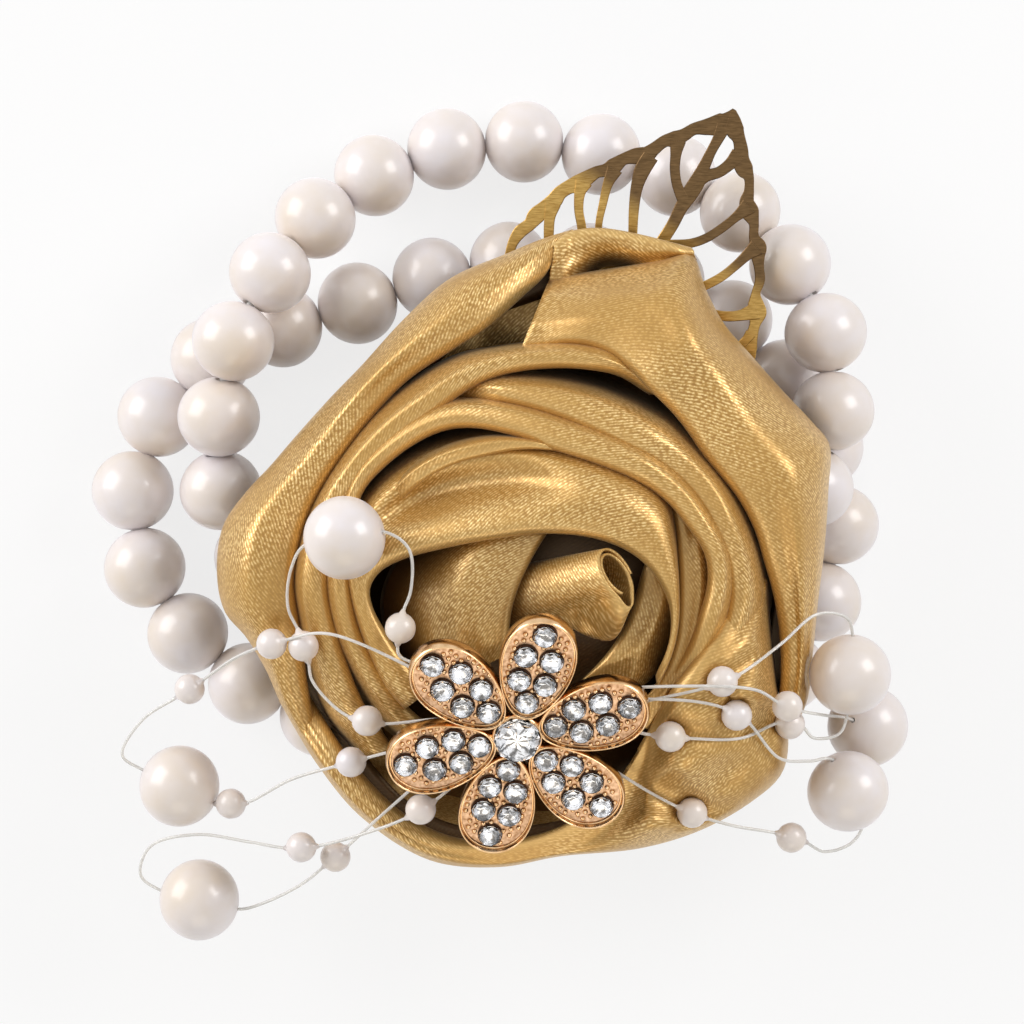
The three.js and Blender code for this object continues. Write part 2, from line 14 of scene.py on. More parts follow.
import bmesh
import bpy
import numpy as np
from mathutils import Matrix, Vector

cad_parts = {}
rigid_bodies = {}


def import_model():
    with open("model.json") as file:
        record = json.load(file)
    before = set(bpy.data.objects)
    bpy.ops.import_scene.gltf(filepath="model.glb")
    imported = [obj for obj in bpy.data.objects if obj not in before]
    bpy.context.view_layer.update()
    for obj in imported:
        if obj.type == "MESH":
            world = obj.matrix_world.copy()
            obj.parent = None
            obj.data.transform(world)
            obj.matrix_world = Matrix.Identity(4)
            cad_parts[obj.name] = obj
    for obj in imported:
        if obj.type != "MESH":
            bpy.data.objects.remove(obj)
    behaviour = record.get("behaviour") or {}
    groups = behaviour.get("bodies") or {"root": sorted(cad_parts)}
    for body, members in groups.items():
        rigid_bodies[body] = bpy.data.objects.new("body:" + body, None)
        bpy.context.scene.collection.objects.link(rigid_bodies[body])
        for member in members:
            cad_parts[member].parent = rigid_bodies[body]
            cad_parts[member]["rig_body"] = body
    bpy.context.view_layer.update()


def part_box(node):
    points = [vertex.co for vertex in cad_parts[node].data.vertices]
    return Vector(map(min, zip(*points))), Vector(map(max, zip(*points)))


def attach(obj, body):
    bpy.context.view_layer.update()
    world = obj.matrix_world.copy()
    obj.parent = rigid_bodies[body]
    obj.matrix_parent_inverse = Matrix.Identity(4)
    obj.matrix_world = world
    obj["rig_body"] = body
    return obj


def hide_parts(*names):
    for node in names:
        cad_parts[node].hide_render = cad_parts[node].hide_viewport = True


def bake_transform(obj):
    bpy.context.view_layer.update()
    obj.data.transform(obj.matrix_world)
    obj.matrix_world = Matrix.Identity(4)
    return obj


LOG = logging.getLogger("corsage")
MM = 0.001
MERGE_DISTANCE = 1e-6
# Colour attribute of the ribbon: red is its share of painted shade deep in a fold, green its nearness
# to a folded edge.
SHADE_AND_EDGE_NAME = "painted_fold_shade_and_edge"
UV_NAME = "UVMap"
NOISE_MEAN = 0.5
# Sockets of a mix node that serve for colours, which share their names with others.
MIX_SHARE, MIX_COLOURS, MIX_RESULT = 0, (6, 7), 2
# A slant that no line of the part follows, so that it can set the rings round any of them.
TUBE_REFERENCE = np.array([0.21, 0.13, 0.97])
# Place and lean of the seat behind the stone-set flower, which the rose and the sprays fit.
FLOWER_SEAT = (-0.3 * MM, -6.7 * MM, 30 * MM)
FLOWER_TILT = math.radians(27)
PixelLine = tuple[tuple[float, float], ...]
Colour = tuple[float, float, float]
Array = np.ndarray
Socket = bpy.types.NodeSocket
Material = bpy.types.Material


class Side(Enum):
    """Which way a strand's or spray's name starts."""

    UPPER = "upper"
    LOWER = "lower"
    LEFT = "left"
    RIGHT = "right"


class Shading(Enum):
    """How the faces of a piece are shaded."""

    SMOOTH = True
    FACETED = False


class Strung(Enum):
    """What sits on a nylon line at one of its points."""

    BEAD = "bead"
    PEARL = "pearl"


@dataclass(frozen=True)
class PhotoView:
    """The camera straight above the corsage, and how a pixel of its picture maps to a place."""

    x: float = -0.8 * MM
    y: float = 14.4 * MM
    height: float = 604 * MM
    scale_height: float = 4 * MM
    pixels_per_metre: float = 10250
    size: int = 1024
    sensor: float = 36
    rounds: int = 4

    def place(self, pixels: Array, height: Array | float) -> Array:
        """Point seen at a pixel, on the level of a given height.

        Args:
            pixels: Pixel coordinates, one row each.
            height: Height of each point above the table.

        Returns:
            Points in the part's frame, one row each.
        """
        level = np.broadcast_to(np.asarray(height, float), pixels.shape[:1])
        reach = (self.height - level) / (self.height - self.scale_height) / self.pixels_per_metre
        x = self.x + (pixels[:, 0] - self.size / 2) * reach
        y = self.y - (pixels[:, 1] - self.size / 2) * reach
        return np.column_stack([x, y, level])

    def onto(self, pixels: Array, start: float, height_at: Callable) -> Array:
        """Points of an uneven surface seen at pixels, by placing and lifting them a few times.

        Args:
            pixels: Pixel coordinates, one row each.
            start: First guess of the height.
            height_at: Height of the surface at x and y.

        Returns:
            Points in the part's frame, one row each.
        """
        height = start
        for _ in range(self.rounds):
            height = height_at(*self.place(pixels, height)[:, :2].T)
        return self.place(pixels, height)

    def make_camera(self) -> None:
        """Makes the camera of the photograph, looking straight down with +Y up in the picture."""
        data = bpy.data.cameras.new("photo_camera")
        distance = self.height - self.scale_height
        data.sensor_width = self.sensor
        data.lens = self.sensor * distance * self.pixels_per_metre / self.size
        camera = bpy.data.objects.new("photo_camera", data)
        camera.location = (self.x, self.y, self.height)
        bpy.context.scene.collection.objects.link(camera)
        bpy.context.scene.camera = camera


VIEW = PhotoView()


@dataclass
class Surface:
    """Points and four-sided faces of one mesh, with a flat coordinate for each point.

    A tone, where there is one, holds two shares for each point: how much painted shade it gets
    for lying deep in a fold, and how near it is to a folded edge.
    """

    points: Array
    faces: Array
    uv: Array
    tone: Array | None = None

    def area(self) -> float:
        """Sum of the areas of its faces, each split into two triangles.

        Returns:
            The area.
        """
        a, b, c, d = (self.points[self.faces[:, k]] for k in range(4))
        halves = np.cross(b - a, c - a), np.cross(c - a, d - a)
        return float(sum(np.linalg.norm(half, axis=1).sum() for half in halves) / 2)


def joined(parts: list[Surface]) -> Surface:
    """One surface that holds several.

    Args:
        parts: Surfaces to put together, unchanged.

    Returns:
        The surface of all their points and faces.
    """
    starts = np.cumsum([0] + [len(part.points) for part in parts[:-1]])
    faces = np.vstack([part.faces + start for part, start in zip(parts, starts)])
    tones = None
    if any(part.tone is not None for part in parts):
        tones = np.vstack([np.zeros_like(p.uv) if p.tone is None else p.tone for p in parts])
    return Surface(
        np.vstack([p.points for p in parts]), faces, np.vstack([p.uv for p in parts]), tones)


def grid_surface(
    grid: Array, uv: Array | None = None, round_rows: bool = False,
    round_columns: bool = False, tone: Array | None = None,
) -> Surface:
    """Surface through a grid of points, with a four-sided face in each of its cells.

    Args:
        grid: Points by row and column.
        uv: Flat coordinates by row and column, or None for the shares along both.
        round_rows: Whether the last row joins the first.
        round_columns: Whether the last column joins the first.
        tone: Two shares by row and column, or None.

    Returns:
        The surface.
    """
    rows, columns = grid.shape[:2]
    index = np.arange(rows * columns).reshape(rows, columns)
    index = np.vstack([index, index[:1]]) if round_rows else index
    index = np.hstack([index, index[:, :1]]) if round_columns else index
    faces = np.stack([index[:-1, :-1], index[1:, :-1], index[1:, 1:], index[:-1, 1:]], axis=-1)
    if uv is None:
        shares = np.meshgrid(np.linspace(0, 1, rows), np.linspace(0, 1, columns), indexing="ij")
        uv = np.stack(shares, axis=-1)
    tone = None if tone is None else tone.reshape(-1, 2)
    return Surface(grid.reshape(-1, 3), faces.reshape(-1, 4), uv.reshape(-1, 2), tone)


def unit(vectors: Array) -> Array:
    """Vectors brought to a length of one."""
    return vectors / np.linalg.norm(vectors, axis=-1, keepdims=True)


def full_turn(count: int) -> Array:
    """Angles of a whole circle in even steps, as a column."""
    return np.linspace(0, 2 * np.pi, count, endpoint=False)[:, None]


def eased(share: Array) -> Array:
    """Smooth step from 0 to 1: 3s² - 2s³, with s kept between them."""
    share = np.clip(share, 0, 1)
    return share**2 * (3 - 2 * share)


def smooth_line(points: Array, per_span: int) -> Array:
    """Centripetal Catmull-Rom curve: a cubic in each span whose slopes follow the root of its length.

    Args:
        points: Points that the curve passes, one row each.
        per_span: Samples in each span.

    Returns:
        Samples along the curve, both ends included.
    """
    ends = np.vstack([2 * points[0] - points[1], points, 2 * points[-1] - points[-2]])
    p0, p1, p2, p3 = ends[:-3], ends[1:-2], ends[2:-1], ends[3:]
    d0, d1, d2 = (np.sqrt(np.linalg.norm(b - a, axis=1))[:, None]
                  for a, b in ((p0, p1), (p1, p2), (p2, p3)))
    out = d1 * ((p1 - p0) / d0 - (p2 - p0) / (d0 + d1) + (p2 - p1) / d1)
    into = d1 * ((p2 - p1) / d1 - (p3 - p1) / (d1 + d2) + (p3 - p2) / d2)
    t = np.linspace(0, 1, per_span, endpoint=False)[:, None, None]
    line = (p1 + t * out + t**2 * (3 * (p2 - p1) - 2 * out - into)
            + t**3 * (2 * (p1 - p2) + out + into))
    return np.vstack([line.transpose(1, 0, 2).reshape(-1, points.shape[1]), points[-1:]])


def lengths_along(line: Array) -> Array:
    """Distance from the start to each point of a line."""
    return np.concatenate([[0], np.cumsum(np.linalg.norm(np.diff(line, axis=0), axis=1))])


def evenly(line: Array, count: int) -> Array:
    """Points at equal distances along a line.

    Args:
        line: Points of the line, one row each.
        count: Points wanted.

    Returns:
        The evenly spaced points.
    """
    along = lengths_along(line)
    wanted = np.linspace(0, along[-1], count)
    return np.column_stack([np.interp(wanted, along, column) for column in line.T])


def ring_grid(
    radius: Array, angle: Array, height: Array | float, middle: tuple = (0, 0),
) -> Array:
    """Points round an upright axis: the radius by the angle's cosine and sine, and a height.

    Args:
        radius: Distances from the axis, by row and column.
        angle: Angles round it.
        height: Heights along it.
        middle: Where the axis stands.

    Returns:
        Points by row and column.
    """
    x, y = middle[0] + radius * np.cos(angle), middle[1] + radius * np.sin(angle)
    return np.stack([x, y, np.broadcast_to(height, x.shape)], axis=-1)


def capped(rings: Array) -> Surface:
    """Closed surface along rings, whose ends close in the middle of the first and of the last.

    Args:
        rings: Points by ring and place in the ring.

    Returns:
        The surface.
    """
    caps = [np.broadcast_to(rings[k].mean(axis=0), rings[k].shape)[None] for k in (0, -1)]
    return grid_surface(np.concatenate([caps[0], rings, caps[1]]), round_columns=True)


def tube(line: Array, radius: float, sides: int) -> Surface:
    """Round tube along a line with closed ends: a circle set square to the line at each point.

    Args:
        line: Centres of the rings.
        radius: Radius of the rings.
        sides: Points in a ring.

    Returns:
        The closed surface.
    """
    tangent = unit(np.gradient(line, axis=0))
    first = unit(np.cross(tangent, TUBE_REFERENCE))
    second = np.cross(tangent, first)
    angle = full_turn(sides)
    return capped(line[:, None] + radius * (
        first[:, None] * np.cos(angle) + second[:, None] * np.sin(angle)))


def lathe(profile: Array, sides: int, closed: bool) -> Surface:
    """Surface of a profile turned round Z: each profile point becomes a circle.

    Args:
        profile: Radius and height of each point.
        sides: Points in a circle.
        closed: Whether the profile's last point joins its first.

    Returns:
        The surface about the origin.
    """
    grid = ring_grid(profile[:, 0], full_turn(sides), profile[:, 1])
    return grid_surface(grid, round_rows=True, round_columns=closed)


def axes_along(direction: Array) -> Array:
    """Rotation that turns Z to a direction, which is its third column.

    Args:
        direction: The direction, of any length.

    Returns:
        The rotation matrix.
    """
    third = unit(direction)
    first = unit(np.cross(third, TUBE_REFERENCE))
    return np.column_stack([first, np.cross(third, first), third])


def placed(part: Surface, place: Array, turn: Array | None = None) -> Surface:
    """A surface turned and then moved to a place."""
    points = part.points if turn is None else part.points @ turn.T
    return Surface(points + place, part.faces, part.uv, part.tone)


def add_piece(
    name: str, surface: Surface, material: Material,
    shading: Shading = Shading.SMOOTH, closed: bool = True,
) -> bpy.types.Object:
    """Mesh object of a surface, with its poles merged and its faces pointing out.

    Args:
        name: Name of the piece.
        surface: Its points, faces and flat coordinates.
        material: Its finish.
        shading: Whether its faces are smooth or faceted.
        closed: Whether it is a closed body, whose normals are worked out again.

    Returns:
        The object, at the origin.
    """
    mesh = bpy.data.meshes.new(name)
    corners = surface.faces.astype(np.int32).ravel()
    starts = np.arange(0, len(corners), surface.faces.shape[1], dtype=np.int32)
    mesh.vertices.add(len(surface.points))
    mesh.vertices.foreach_set("co", surface.points.astype(np.float32).ravel())
    mesh.loops.add(len(corners))
    mesh.loops.foreach_set("vertex_index", corners)
    mesh.polygons.add(len(starts))
    mesh.polygons.foreach_set("loop_start", starts)
    mesh.update(calc_edges=True)
    layer = mesh.uv_layers.new(name=UV_NAME)
    layer.data.foreach_set("uv", surface.uv[corners].astype(np.float32).ravel())
    if surface.tone is not None:
        # Red holds the share of painted fold shade, green the nearness to a folded edge.
        tint = mesh.color_attributes.new(SHADE_AND_EDGE_NAME, "FLOAT_COLOR", "POINT")
        colours = np.hstack([surface.tone, np.zeros_like(surface.tone)])
        tint.data.foreach_set("color", colours.astype(np.float32).ravel())
    work = bmesh.new()
    work.from_mesh(mesh)
    bmesh.ops.remove_doubles(work, verts=work.verts, dist=MERGE_DISTANCE)
    bmesh.ops.dissolve_degenerate(work, edges=work.edges, dist=MERGE_DISTANCE)
    if closed:
        bmesh.ops.recalc_face_normals(work, faces=work.faces)
    work.to_mesh(mesh)
    work.free()
    mesh.polygons.foreach_set("use_smooth", np.full(len(mesh.polygons), shading.value))
    mesh.materials.append(material)
    piece = bpy.data.objects.new(name, mesh)
    bpy.context.scene.collection.objects.link(piece)
    LOG.info("%s: %d faces", name, len(mesh.polygons))
    return piece


class Nodes:
    """A node tree, with short ways to add nodes and link them."""

    def __init__(self, owner: str | bpy.types.NodeTree) -> None:
        """Starts a new material with its shader, or takes a tree that is there.

        Args:
            owner: Name of the new material, or the tree.
        """
        if isinstance(owner, str):
            self.material = bpy.data.materials.new(owner)
            self.material.use_nodes = True
            self.tree = self.material.node_tree
            self.shader = self.tree.nodes["Principled BSDF"]
        else:
            self.tree = owner

    def fill(self, socket: Socket, value: object) -> None:
        """Links another node's output to an input, or sets a plain value on it.

        Args:
            socket: The input.
            value: The output or the value.
        """
        if isinstance(value, Socket):
            self.tree.links.new(value, socket)
        else:
            socket.default_value = value

    def add(self, kind: str, **values: object) -> bpy.types.Node:
        """Adds a node and sets its properties, or its inputs where a property has no such name.

        Args:
            kind: Node type.
            **values: Property or input names, with _ for a space, and their values or outputs.

        Returns:
            The node.
        """
        node = self.tree.nodes.new(kind)
        for key, value in values.items():
            if hasattr(node, key):
                setattr(node, key, value)
            else:
                self.fill(node.inputs[key.replace("_", " ")], value)
        return node

    def shade(self, **values: object) -> None:
        """Sets or links the shader's own inputs, with _ for a space in their names."""
        for key, value in values.items():
            self.fill(self.shader.inputs[key.replace("_", " ")], value)

    def math(self, operation: str, *values: Socket | float) -> Socket:
        """Math node whose inputs are outputs of other nodes or plain numbers.

        Args:
            operation: Name of the operation.
            *values: Its inputs in order.

        Returns:
            Its output.
        """
        node = self.add("ShaderNodeMath", operation=operation)
        for value, socket in zip(values, node.inputs):
            self.fill(socket, value)
        return node.outputs["Value"]

    def mix(self, share: Socket, first: Socket | Colour, second: Socket | Colour) -> Socket:
        """Blend of two colours by a share.

        Args:
            share: Output that gives the share of the second.
            first: Output or plain colour.
            second: Output or plain colour.

        Returns:
            The blended colour.
        """
        node = self.add("ShaderNodeMix", data_type="RGBA")
        self.fill(node.inputs[MIX_SHARE], share)
        for value, index in zip((first, second), MIX_COLOURS):
            self.fill(node.inputs[index], value if isinstance(value, Socket) else (*value, 1))
        return node.outputs[MIX_RESULT]

    def noise(self, scale: float, vector: Socket | None = None, **values: object) -> Socket:
        """Noise over the object's own coordinates, or over others.

        Args:
            scale: How fine it is.
            vector: Output that gives other coordinates, or None.
            **values: More properties or inputs of the noise.

        Returns:
            Its value.
        """
        if vector is None:
            vector = self.add("ShaderNodeTexCoord").outputs["Object"]
        node = self.add("ShaderNodeTexNoise", **values, Scale=scale, Vector=vector)
        return node.outputs["Fac"]

    def map_range(self, value: Socket, source: tuple, target: tuple = (0, 1)) -> Socket:
        """A value brought from one range to another and kept within it.

        Args:
            value: Output that gives the value.
            source: Least and most of the first range.
            target: Least and most of the second.

        Returns:
            The value in the second range.
        """
        node = self.add("ShaderNodeMapRange", Value=value, From_Min=source[0], From_Max=source[1],
                        To_Min=target[0], To_Max=target[1])
        return node.outputs["Result"]

    def squared_sine(self, turns: Socket) -> Socket:
        """Squared sine of half a circle for each whole number of turns."""
        wave = self.math("SINE", self.math("MULTIPLY", turns, math.pi))
        return self.math("MULTIPLY", wave, wave)

    def ramp(self, source: Socket, places: Iterable[float], colours: Iterable[Colour]) -> Socket:
        """Colour ramp fed by a value.

        Args:
            source: Output that gives the value.
            places: Values of its stops.
            colours: Their colours.

        Returns:
            The colour.
        """
        node = self.add("ShaderNodeValToRGB", Fac=source)
        stops = node.color_ramp.elements
        for k, (place, colour) in enumerate(zip(places, colours)):
            stop = stops[k] if k < len(stops) else stops.new(place)
            stop.position, stop.color = place, (*colour, 1)
        return node.outputs["Color"]

    def bump(self, source: Socket, strength: float, depth: float) -> None:
        """Bumps the surface by a height.

        Args:
            source: Output that gives the height.
            strength: Share of the effect.
            depth: Height of a full step.
        """
        node = self.add("ShaderNodeBump", Height=source, Strength=strength, Distance=depth)
        self.shade(Normal=node.outputs["Normal"])


@dataclass(frozen=True)
class SatinFinish:
    """Gold satin ribbon: fine slanted twill of short floats with a silky shine."""

    gap: Colour = (0.29, 0.13, 0.02)
    body: Colour = (0.53, 0.305, 0.077)
    crest: Colour = (0.92, 0.69, 0.33)
    stops: tuple = (0.12, 0.46, 0.9)
    edge: Colour = (0.66, 0.43, 0.15)
    edge_share: float = 0.55
    # Painted shade: the colour that darkens the cloth deep in the folds, and how far it covers it.
    painted_shade: Colour = (0.05, 0.016, 0.004)
    painted_shade_share: float = 0.9
    slant: float = math.radians(58)
    pitch: float = 0.29 * MM
    waver_scale: float = 700
    waver: float = 0.9
    float_length: float = 0.44 * MM
    float_range: tuple = (0.35, 0.65)
    thread_share: float = 0.75
    thread_height: float = 0.035 * MM
    thread_bump: float = 0.35
    weave_mean: float = 0.38
    weave_tone: float = 0.85
    weave_metal: float = 0.35
    least_metal: float = 0.26
    cloud_scale: float = 110
    cloud_tone: float = 0.25
    clear_from: tuple = (0.38, 0.6)
    clear_to: tuple = (0.35, 1)

    def make(self) -> Material:
        """Material whose twill follows the ribbon's own flat coordinates.

        Each twill line is a squared sine across, and along it a noise as long as a float breaks it
        into dashes; a wider noise sets how clearly they show. Folded edges are smoother and paler,
        and painted shade darkens the cloth by its share of depth in a fold.

        Returns:
            The material.
        """
        nodes = Nodes("gold_satin")
        uv = nodes.add("ShaderNodeUVMap", uv_map=UV_NAME).outputs["UV"]
        turned = nodes.add("ShaderNodeMapping", Vector=uv, Rotation=(0, 0, self.slant))
        turned = turned.outputs["Vector"]
        x = nodes.add("ShaderNodeSeparateXYZ", Vector=turned).outputs["X"]
        waver = nodes.math("MULTIPLY", nodes.noise(self.waver_scale), self.waver)
        across = nodes.squared_sine(nodes.math("MULTIPLY_ADD", x, 1 / self.pitch, waver))
        spread = nodes.add("ShaderNodeMapping", Vector=turned,
                           Scale=(1 / self.pitch, 1 / self.float_length, 1))
        dash = nodes.noise(1, spread.outputs["Vector"], noise_dimensions="2D", Detail=1)
        along = nodes.map_range(dash, self.float_range)
        weave = nodes.math("MULTIPLY", *(
            nodes.math("MULTIPLY_ADD", wave, self.thread_share, 1 - self.thread_share)
            for wave in (across, along)))
        cloud = nodes.noise(self.cloud_scale, Detail=3)
        clear = nodes.map_range(cloud, self.clear_from, self.clear_to)
        weave = nodes.math("MULTIPLY_ADD", nodes.math("SUBTRACT", weave, self.weave_mean), clear,
                           self.weave_mean)
        tone = nodes.math("MULTIPLY_ADD", weave, self.weave_tone,
                          nodes.math("MULTIPLY", cloud, self.cloud_tone))
        colour = nodes.ramp(tone, self.stops, (self.gap, self.body, self.crest))
        depth = nodes.add("ShaderNodeVertexColor", layer_name=SHADE_AND_EDGE_NAME).outputs["Color"]
        shares = nodes.add("ShaderNodeSeparateColor", Color=depth).outputs
        colour = nodes.mix(
            nodes.math("MULTIPLY", shares["Green"], self.edge_share), colour, self.edge)
        # Painted shade, by the red share of depth in a fold.
        colour = nodes.mix(
            nodes.math("MULTIPLY", shares["Red"], self.painted_shade_share), colour, self.painted_shade)
        metal = nodes.math("MULTIPLY_ADD", weave, self.weave_metal, self.least_metal)
        tangent = nodes.add("ShaderNodeTangent", direction_type="UV_MAP", uv_map=UV_NAME)
        nodes.shade(Base_Color=colour, Metallic=metal, Roughness=0.36, Specular_IOR_Level=1,
                    Specular_Tint=(1, 0.92, 0.74, 1), Anisotropic=0.3,
                    Tangent=tangent.outputs["Tangent"], Sheen_Weight=0.12, Sheen_Roughness=0.4,
                    Sheen_Tint=(1, 0.9, 0.7, 1))
        nodes.bump(weave, self.thread_bump, self.thread_height)
        return nodes.material


@dataclass(frozen=True)
class PearlFinish:
    """Ivory pearl lacquer with a soft pink and lavender lustre."""

    ivory: Colour = (0.78, 0.685, 0.585)
    blush: Colour = (0.83, 0.785, 0.80)
    stops: tuple = (0.3, 0.7)
    patch_scale: float = 170
    relief: float = 0.05
    relief_depth: float = 0.05 * MM

    def make(self) -> Material:
        """Material with faint cloudy colour under a clear coat.

        Returns:
            The material.
        """
        nodes = Nodes("pearl_lacquer")
        cloud = nodes.noise(self.patch_scale, Detail=3)
        nodes.shade(Base_Color=nodes.ramp(cloud, self.stops, (self.ivory, self.blush)),
                    Roughness=0.38, Specular_IOR_Level=0.6, Coat_Weight=0.5, Coat_Roughness=0.19,
                    Coat_IOR=1.65, Sheen_Weight=0.8, Sheen_Tint=(0.96, 0.93, 1, 1),
                    Sheen_Roughness=0.32)
        nodes.bump(cloud, self.relief, self.relief_depth)
        return nodes.material


@dataclass(frozen=True)
class PaintedReflection:
    """Painted dark reflection that sets in along a direction, from its start to where it is full."""

    direction: tuple
    start: float
    full: float
    colour: Colour
    dark_share: float = 0.55
    raggedness: float = 0.3


@dataclass(frozen=True)
class MetalFinish:
    """Metal with fine brush marks or grain, maybe with a painted dark reflection along a direction."""

    name: str
    dark: Colour
    light: Colour
    roughness: float
    grain: tuple = (900, 900, 900)
    depth: float = 0.01 * MM
    spread: float = 0.2
    relief: float = 0.3
    painted_reflection: PaintedReflection | None = None

    def make(self) -> Material:
        """Material whose colour and relief vary with a stretched noise.

        Returns:
            The material.
        """
        nodes = Nodes(self.name)
        place = nodes.add("ShaderNodeTexCoord").outputs["Object"]
        stretch = nodes.add("ShaderNodeMapping", Vector=place, Scale=self.grain)
        noise = nodes.noise(1, stretch.outputs["Vector"], Detail=3)
        stops = NOISE_MEAN - self.spread, NOISE_MEAN + self.spread
        colour = nodes.ramp(noise, stops, (self.dark, self.light))
        # Painted reflection: the colour turns to a dark ramp along a direction.
        if self.painted_reflection:
            reflection = self.painted_reflection
            along = nodes.add("ShaderNodeVectorMath", operation="DOT_PRODUCT")
            nodes.fill(along.inputs[0], place)
            nodes.fill(along.inputs[1], reflection.direction)
            ragged = reflection.raggedness * (reflection.full - reflection.start)
            reach = nodes.math("MULTIPLY_ADD", noise, ragged, along.outputs["Value"])
            dark = tuple(reflection.dark_share * part for part in reflection.colour)
            colour = nodes.mix(nodes.map_range(reach, (reflection.start, reflection.full)), colour,
                               nodes.ramp(noise, stops, (dark, reflection.colour)))
        nodes.shade(Base_Color=colour, Metallic=1, Roughness=self.roughness)
        nodes.bump(noise, self.relief, self.depth)
        return nodes.material


@dataclass(frozen=True)
class ClearFinish:
    """See-through stuff, such as nylon, elastic, glue and cut stone."""

    name: str
    colour: Colour
    roughness: float
    clearness: float
    index: float = 1.5
    cloud_scale: float = 400
    milky_share: float = 0.94
    stops: tuple = (0.35, 0.65)

    def make(self) -> Material:
        """Material that lets light through, with faint clouds in its colour.

        Returns:
            The material.
        """
        nodes = Nodes(self.name)
        milky = tuple(self.milky_share * part for part in self.colour)
        colour = nodes.ramp(nodes.noise(self.cloud_scale), self.stops, (milky, self.colour))
        nodes.shade(Base_Color=colour, Roughness=self.roughness, IOR=self.index,
                    Transmission_Weight=self.clearness)
        return nodes.material


@dataclass(frozen=True)
class PaintedRayFoilFinish:
    """Mirror behind the middle stone, in bright and dark rays of painted reflection."""

    dark: Colour = (0.06, 0.06, 0.065)
    light: Colour = (0.97, 0.96, 0.95)
    stops: tuple = (0.08, 0.6)
    rays: int = 7
    shift_scale: float = 900
    shift: float = 1.6

    def make(self) -> Material:
        """Material whose painted reflection is a squared sine round the stone, shifted by a noise.

        Returns:
            The material.
        """
        nodes = Nodes("star_foil_painted_rays")
        uv = nodes.add("ShaderNodeUVMap", uv_map=UV_NAME).outputs["UV"]
        x = nodes.add("ShaderNodeSeparateXYZ", Vector=uv).outputs["X"]
        shift = nodes.math("MULTIPLY", nodes.noise(self.shift_scale), self.shift)
        rays = nodes.squared_sine(nodes.math("MULTIPLY_ADD", x, self.rays, shift))
        nodes.shade(Base_Color=nodes.ramp(rays, self.stops, (self.dark, self.light)), Metallic=1,
                    Roughness=0.06)
        return nodes.material


@dataclass(frozen=True)
class FeltFinish:
    """Cream wool felt with a matted fibre relief."""

    dark: Colour = (0.62, 0.56, 0.46)
    light: Colour = (0.80, 0.75, 0.66)
    stops: tuple = (0.3, 0.7)
    fibre_scale: float = 1400
    relief: float = 0.7
    relief_depth: float = 0.15 * MM

    def make(self) -> Material:
        """Material with a fine fibre noise.

        Returns:
            The material.
        """
        nodes = Nodes("cream_felt")
        fibre = nodes.noise(self.fibre_scale, Detail=6, Roughness=0.7)
        nodes.shade(Base_Color=nodes.ramp(fibre, self.stops, (self.dark, self.light)),
                    Roughness=0.95, Sheen_Weight=0.5, Sheen_Roughness=0.6)
        nodes.bump(fibre, self.relief, self.relief_depth)
        return nodes.material


Finish = SatinFinish | PearlFinish | MetalFinish | ClearFinish | PaintedRayFoilFinish | FeltFinish


def made(finish: Finish) -> Material:
    """Field whose material is made along with the set of finishes."""
    return field(default_factory=finish.make)


@dataclass(frozen=True)
class Finishes:
    """All the corsage's materials, each made once."""

    satin: Material = made(SatinFinish())
    pearl: Material = made(PearlFinish())
    # The leaf is painted darker towards its upper end: a painted dark reflection in its flat brass.
    brass: Material = made(MetalFinish(
        "brushed_brass", (0.35, 0.2, 0.05), (0.6, 0.39, 0.125), 0.3, (1200, 9000, 1200),
        painted_reflection=PaintedReflection((0.55, 0.83, 0), 41.6 * MM, 43.6 * MM, (0.2, 0.12, 0.054))))
    rose_gold: Material = made(MetalFinish(
        "rose_gold", (0.60, 0.36, 0.17), (0.88, 0.62, 0.37), 0.2))
    copper_bed: Material = made(MetalFinish(
        "copper_bed", (0.33, 0.18, 0.09), (0.72, 0.49, 0.32), 0.38, (2600, 2600, 2600), 0.06 * MM))
    # Painted shadow: near-black rings round the stones, where the gap between stone and bed is in
    # shade.
    painted_shadow_ring: Material = made(MetalFinish(
        "painted_shadow_ring", (0.05, 0.025, 0.015), (0.12, 0.06, 0.035), 0.5))
    # Painted reflections: the mirror foil is patched near-black and white, so the stones show dark and
    # bright facets.
    foil: Material = made(MetalFinish(
        "stone_foil_painted_sparkle", (0.05, 0.05, 0.055), (0.97, 0.97, 0.98), 0.06, (1500, 1500, 1500),
        spread=0.07))
    # Painted reflections: bright and dark rays behind the middle stone.
    star_foil_painted_rays: Material = made(PaintedRayFoilFinish())
    stone: Material = made(ClearFinish("cut_stone", (0.97, 0.98, 1), 0.0, 1, 1.62))
    nylon: Material = made(ClearFinish("nylon_line", (0.95, 0.94, 0.91), 0.15, 0.4))
    elastic: Material = made(ClearFinish("elastic_cord", (0.9, 0.88, 0.85), 0.3, 0.1))
    glue: Material = made(ClearFinish("hot_melt", (0.88, 0.86, 0.78), 0.4, 0.35))
    felt: Material = made(FeltFinish())


@dataclass(frozen=True)
class SprayRoute:
    """A line's way: the angles at which it leaves and re-enters the glue, and its points.

    A point is x, y and z in millimetres, and what sits on the line there, if anything does.
    """

    side: Side
    number: int
    out: float
    back: float | None
    points: tuple[tuple, ...]

    def body(self) -> str:
        """Name of the body that the line rides on."""
        return f"{self.side.value}_spray"

    def name(self) -> str:
        """Start of the names of the line's pieces and nodes."""
        return f"{self.body()}_{self.number}"

    def places(self) -> Array:
        """Its points in metres, one row each."""
        return np.array([point[:3] for point in self.points]) * MM

    def kinds(self) -> list[Strung | None]:
        """What sits at each of its points."""
        return [point[3] if len(point) > 3 else None for point in self.points]


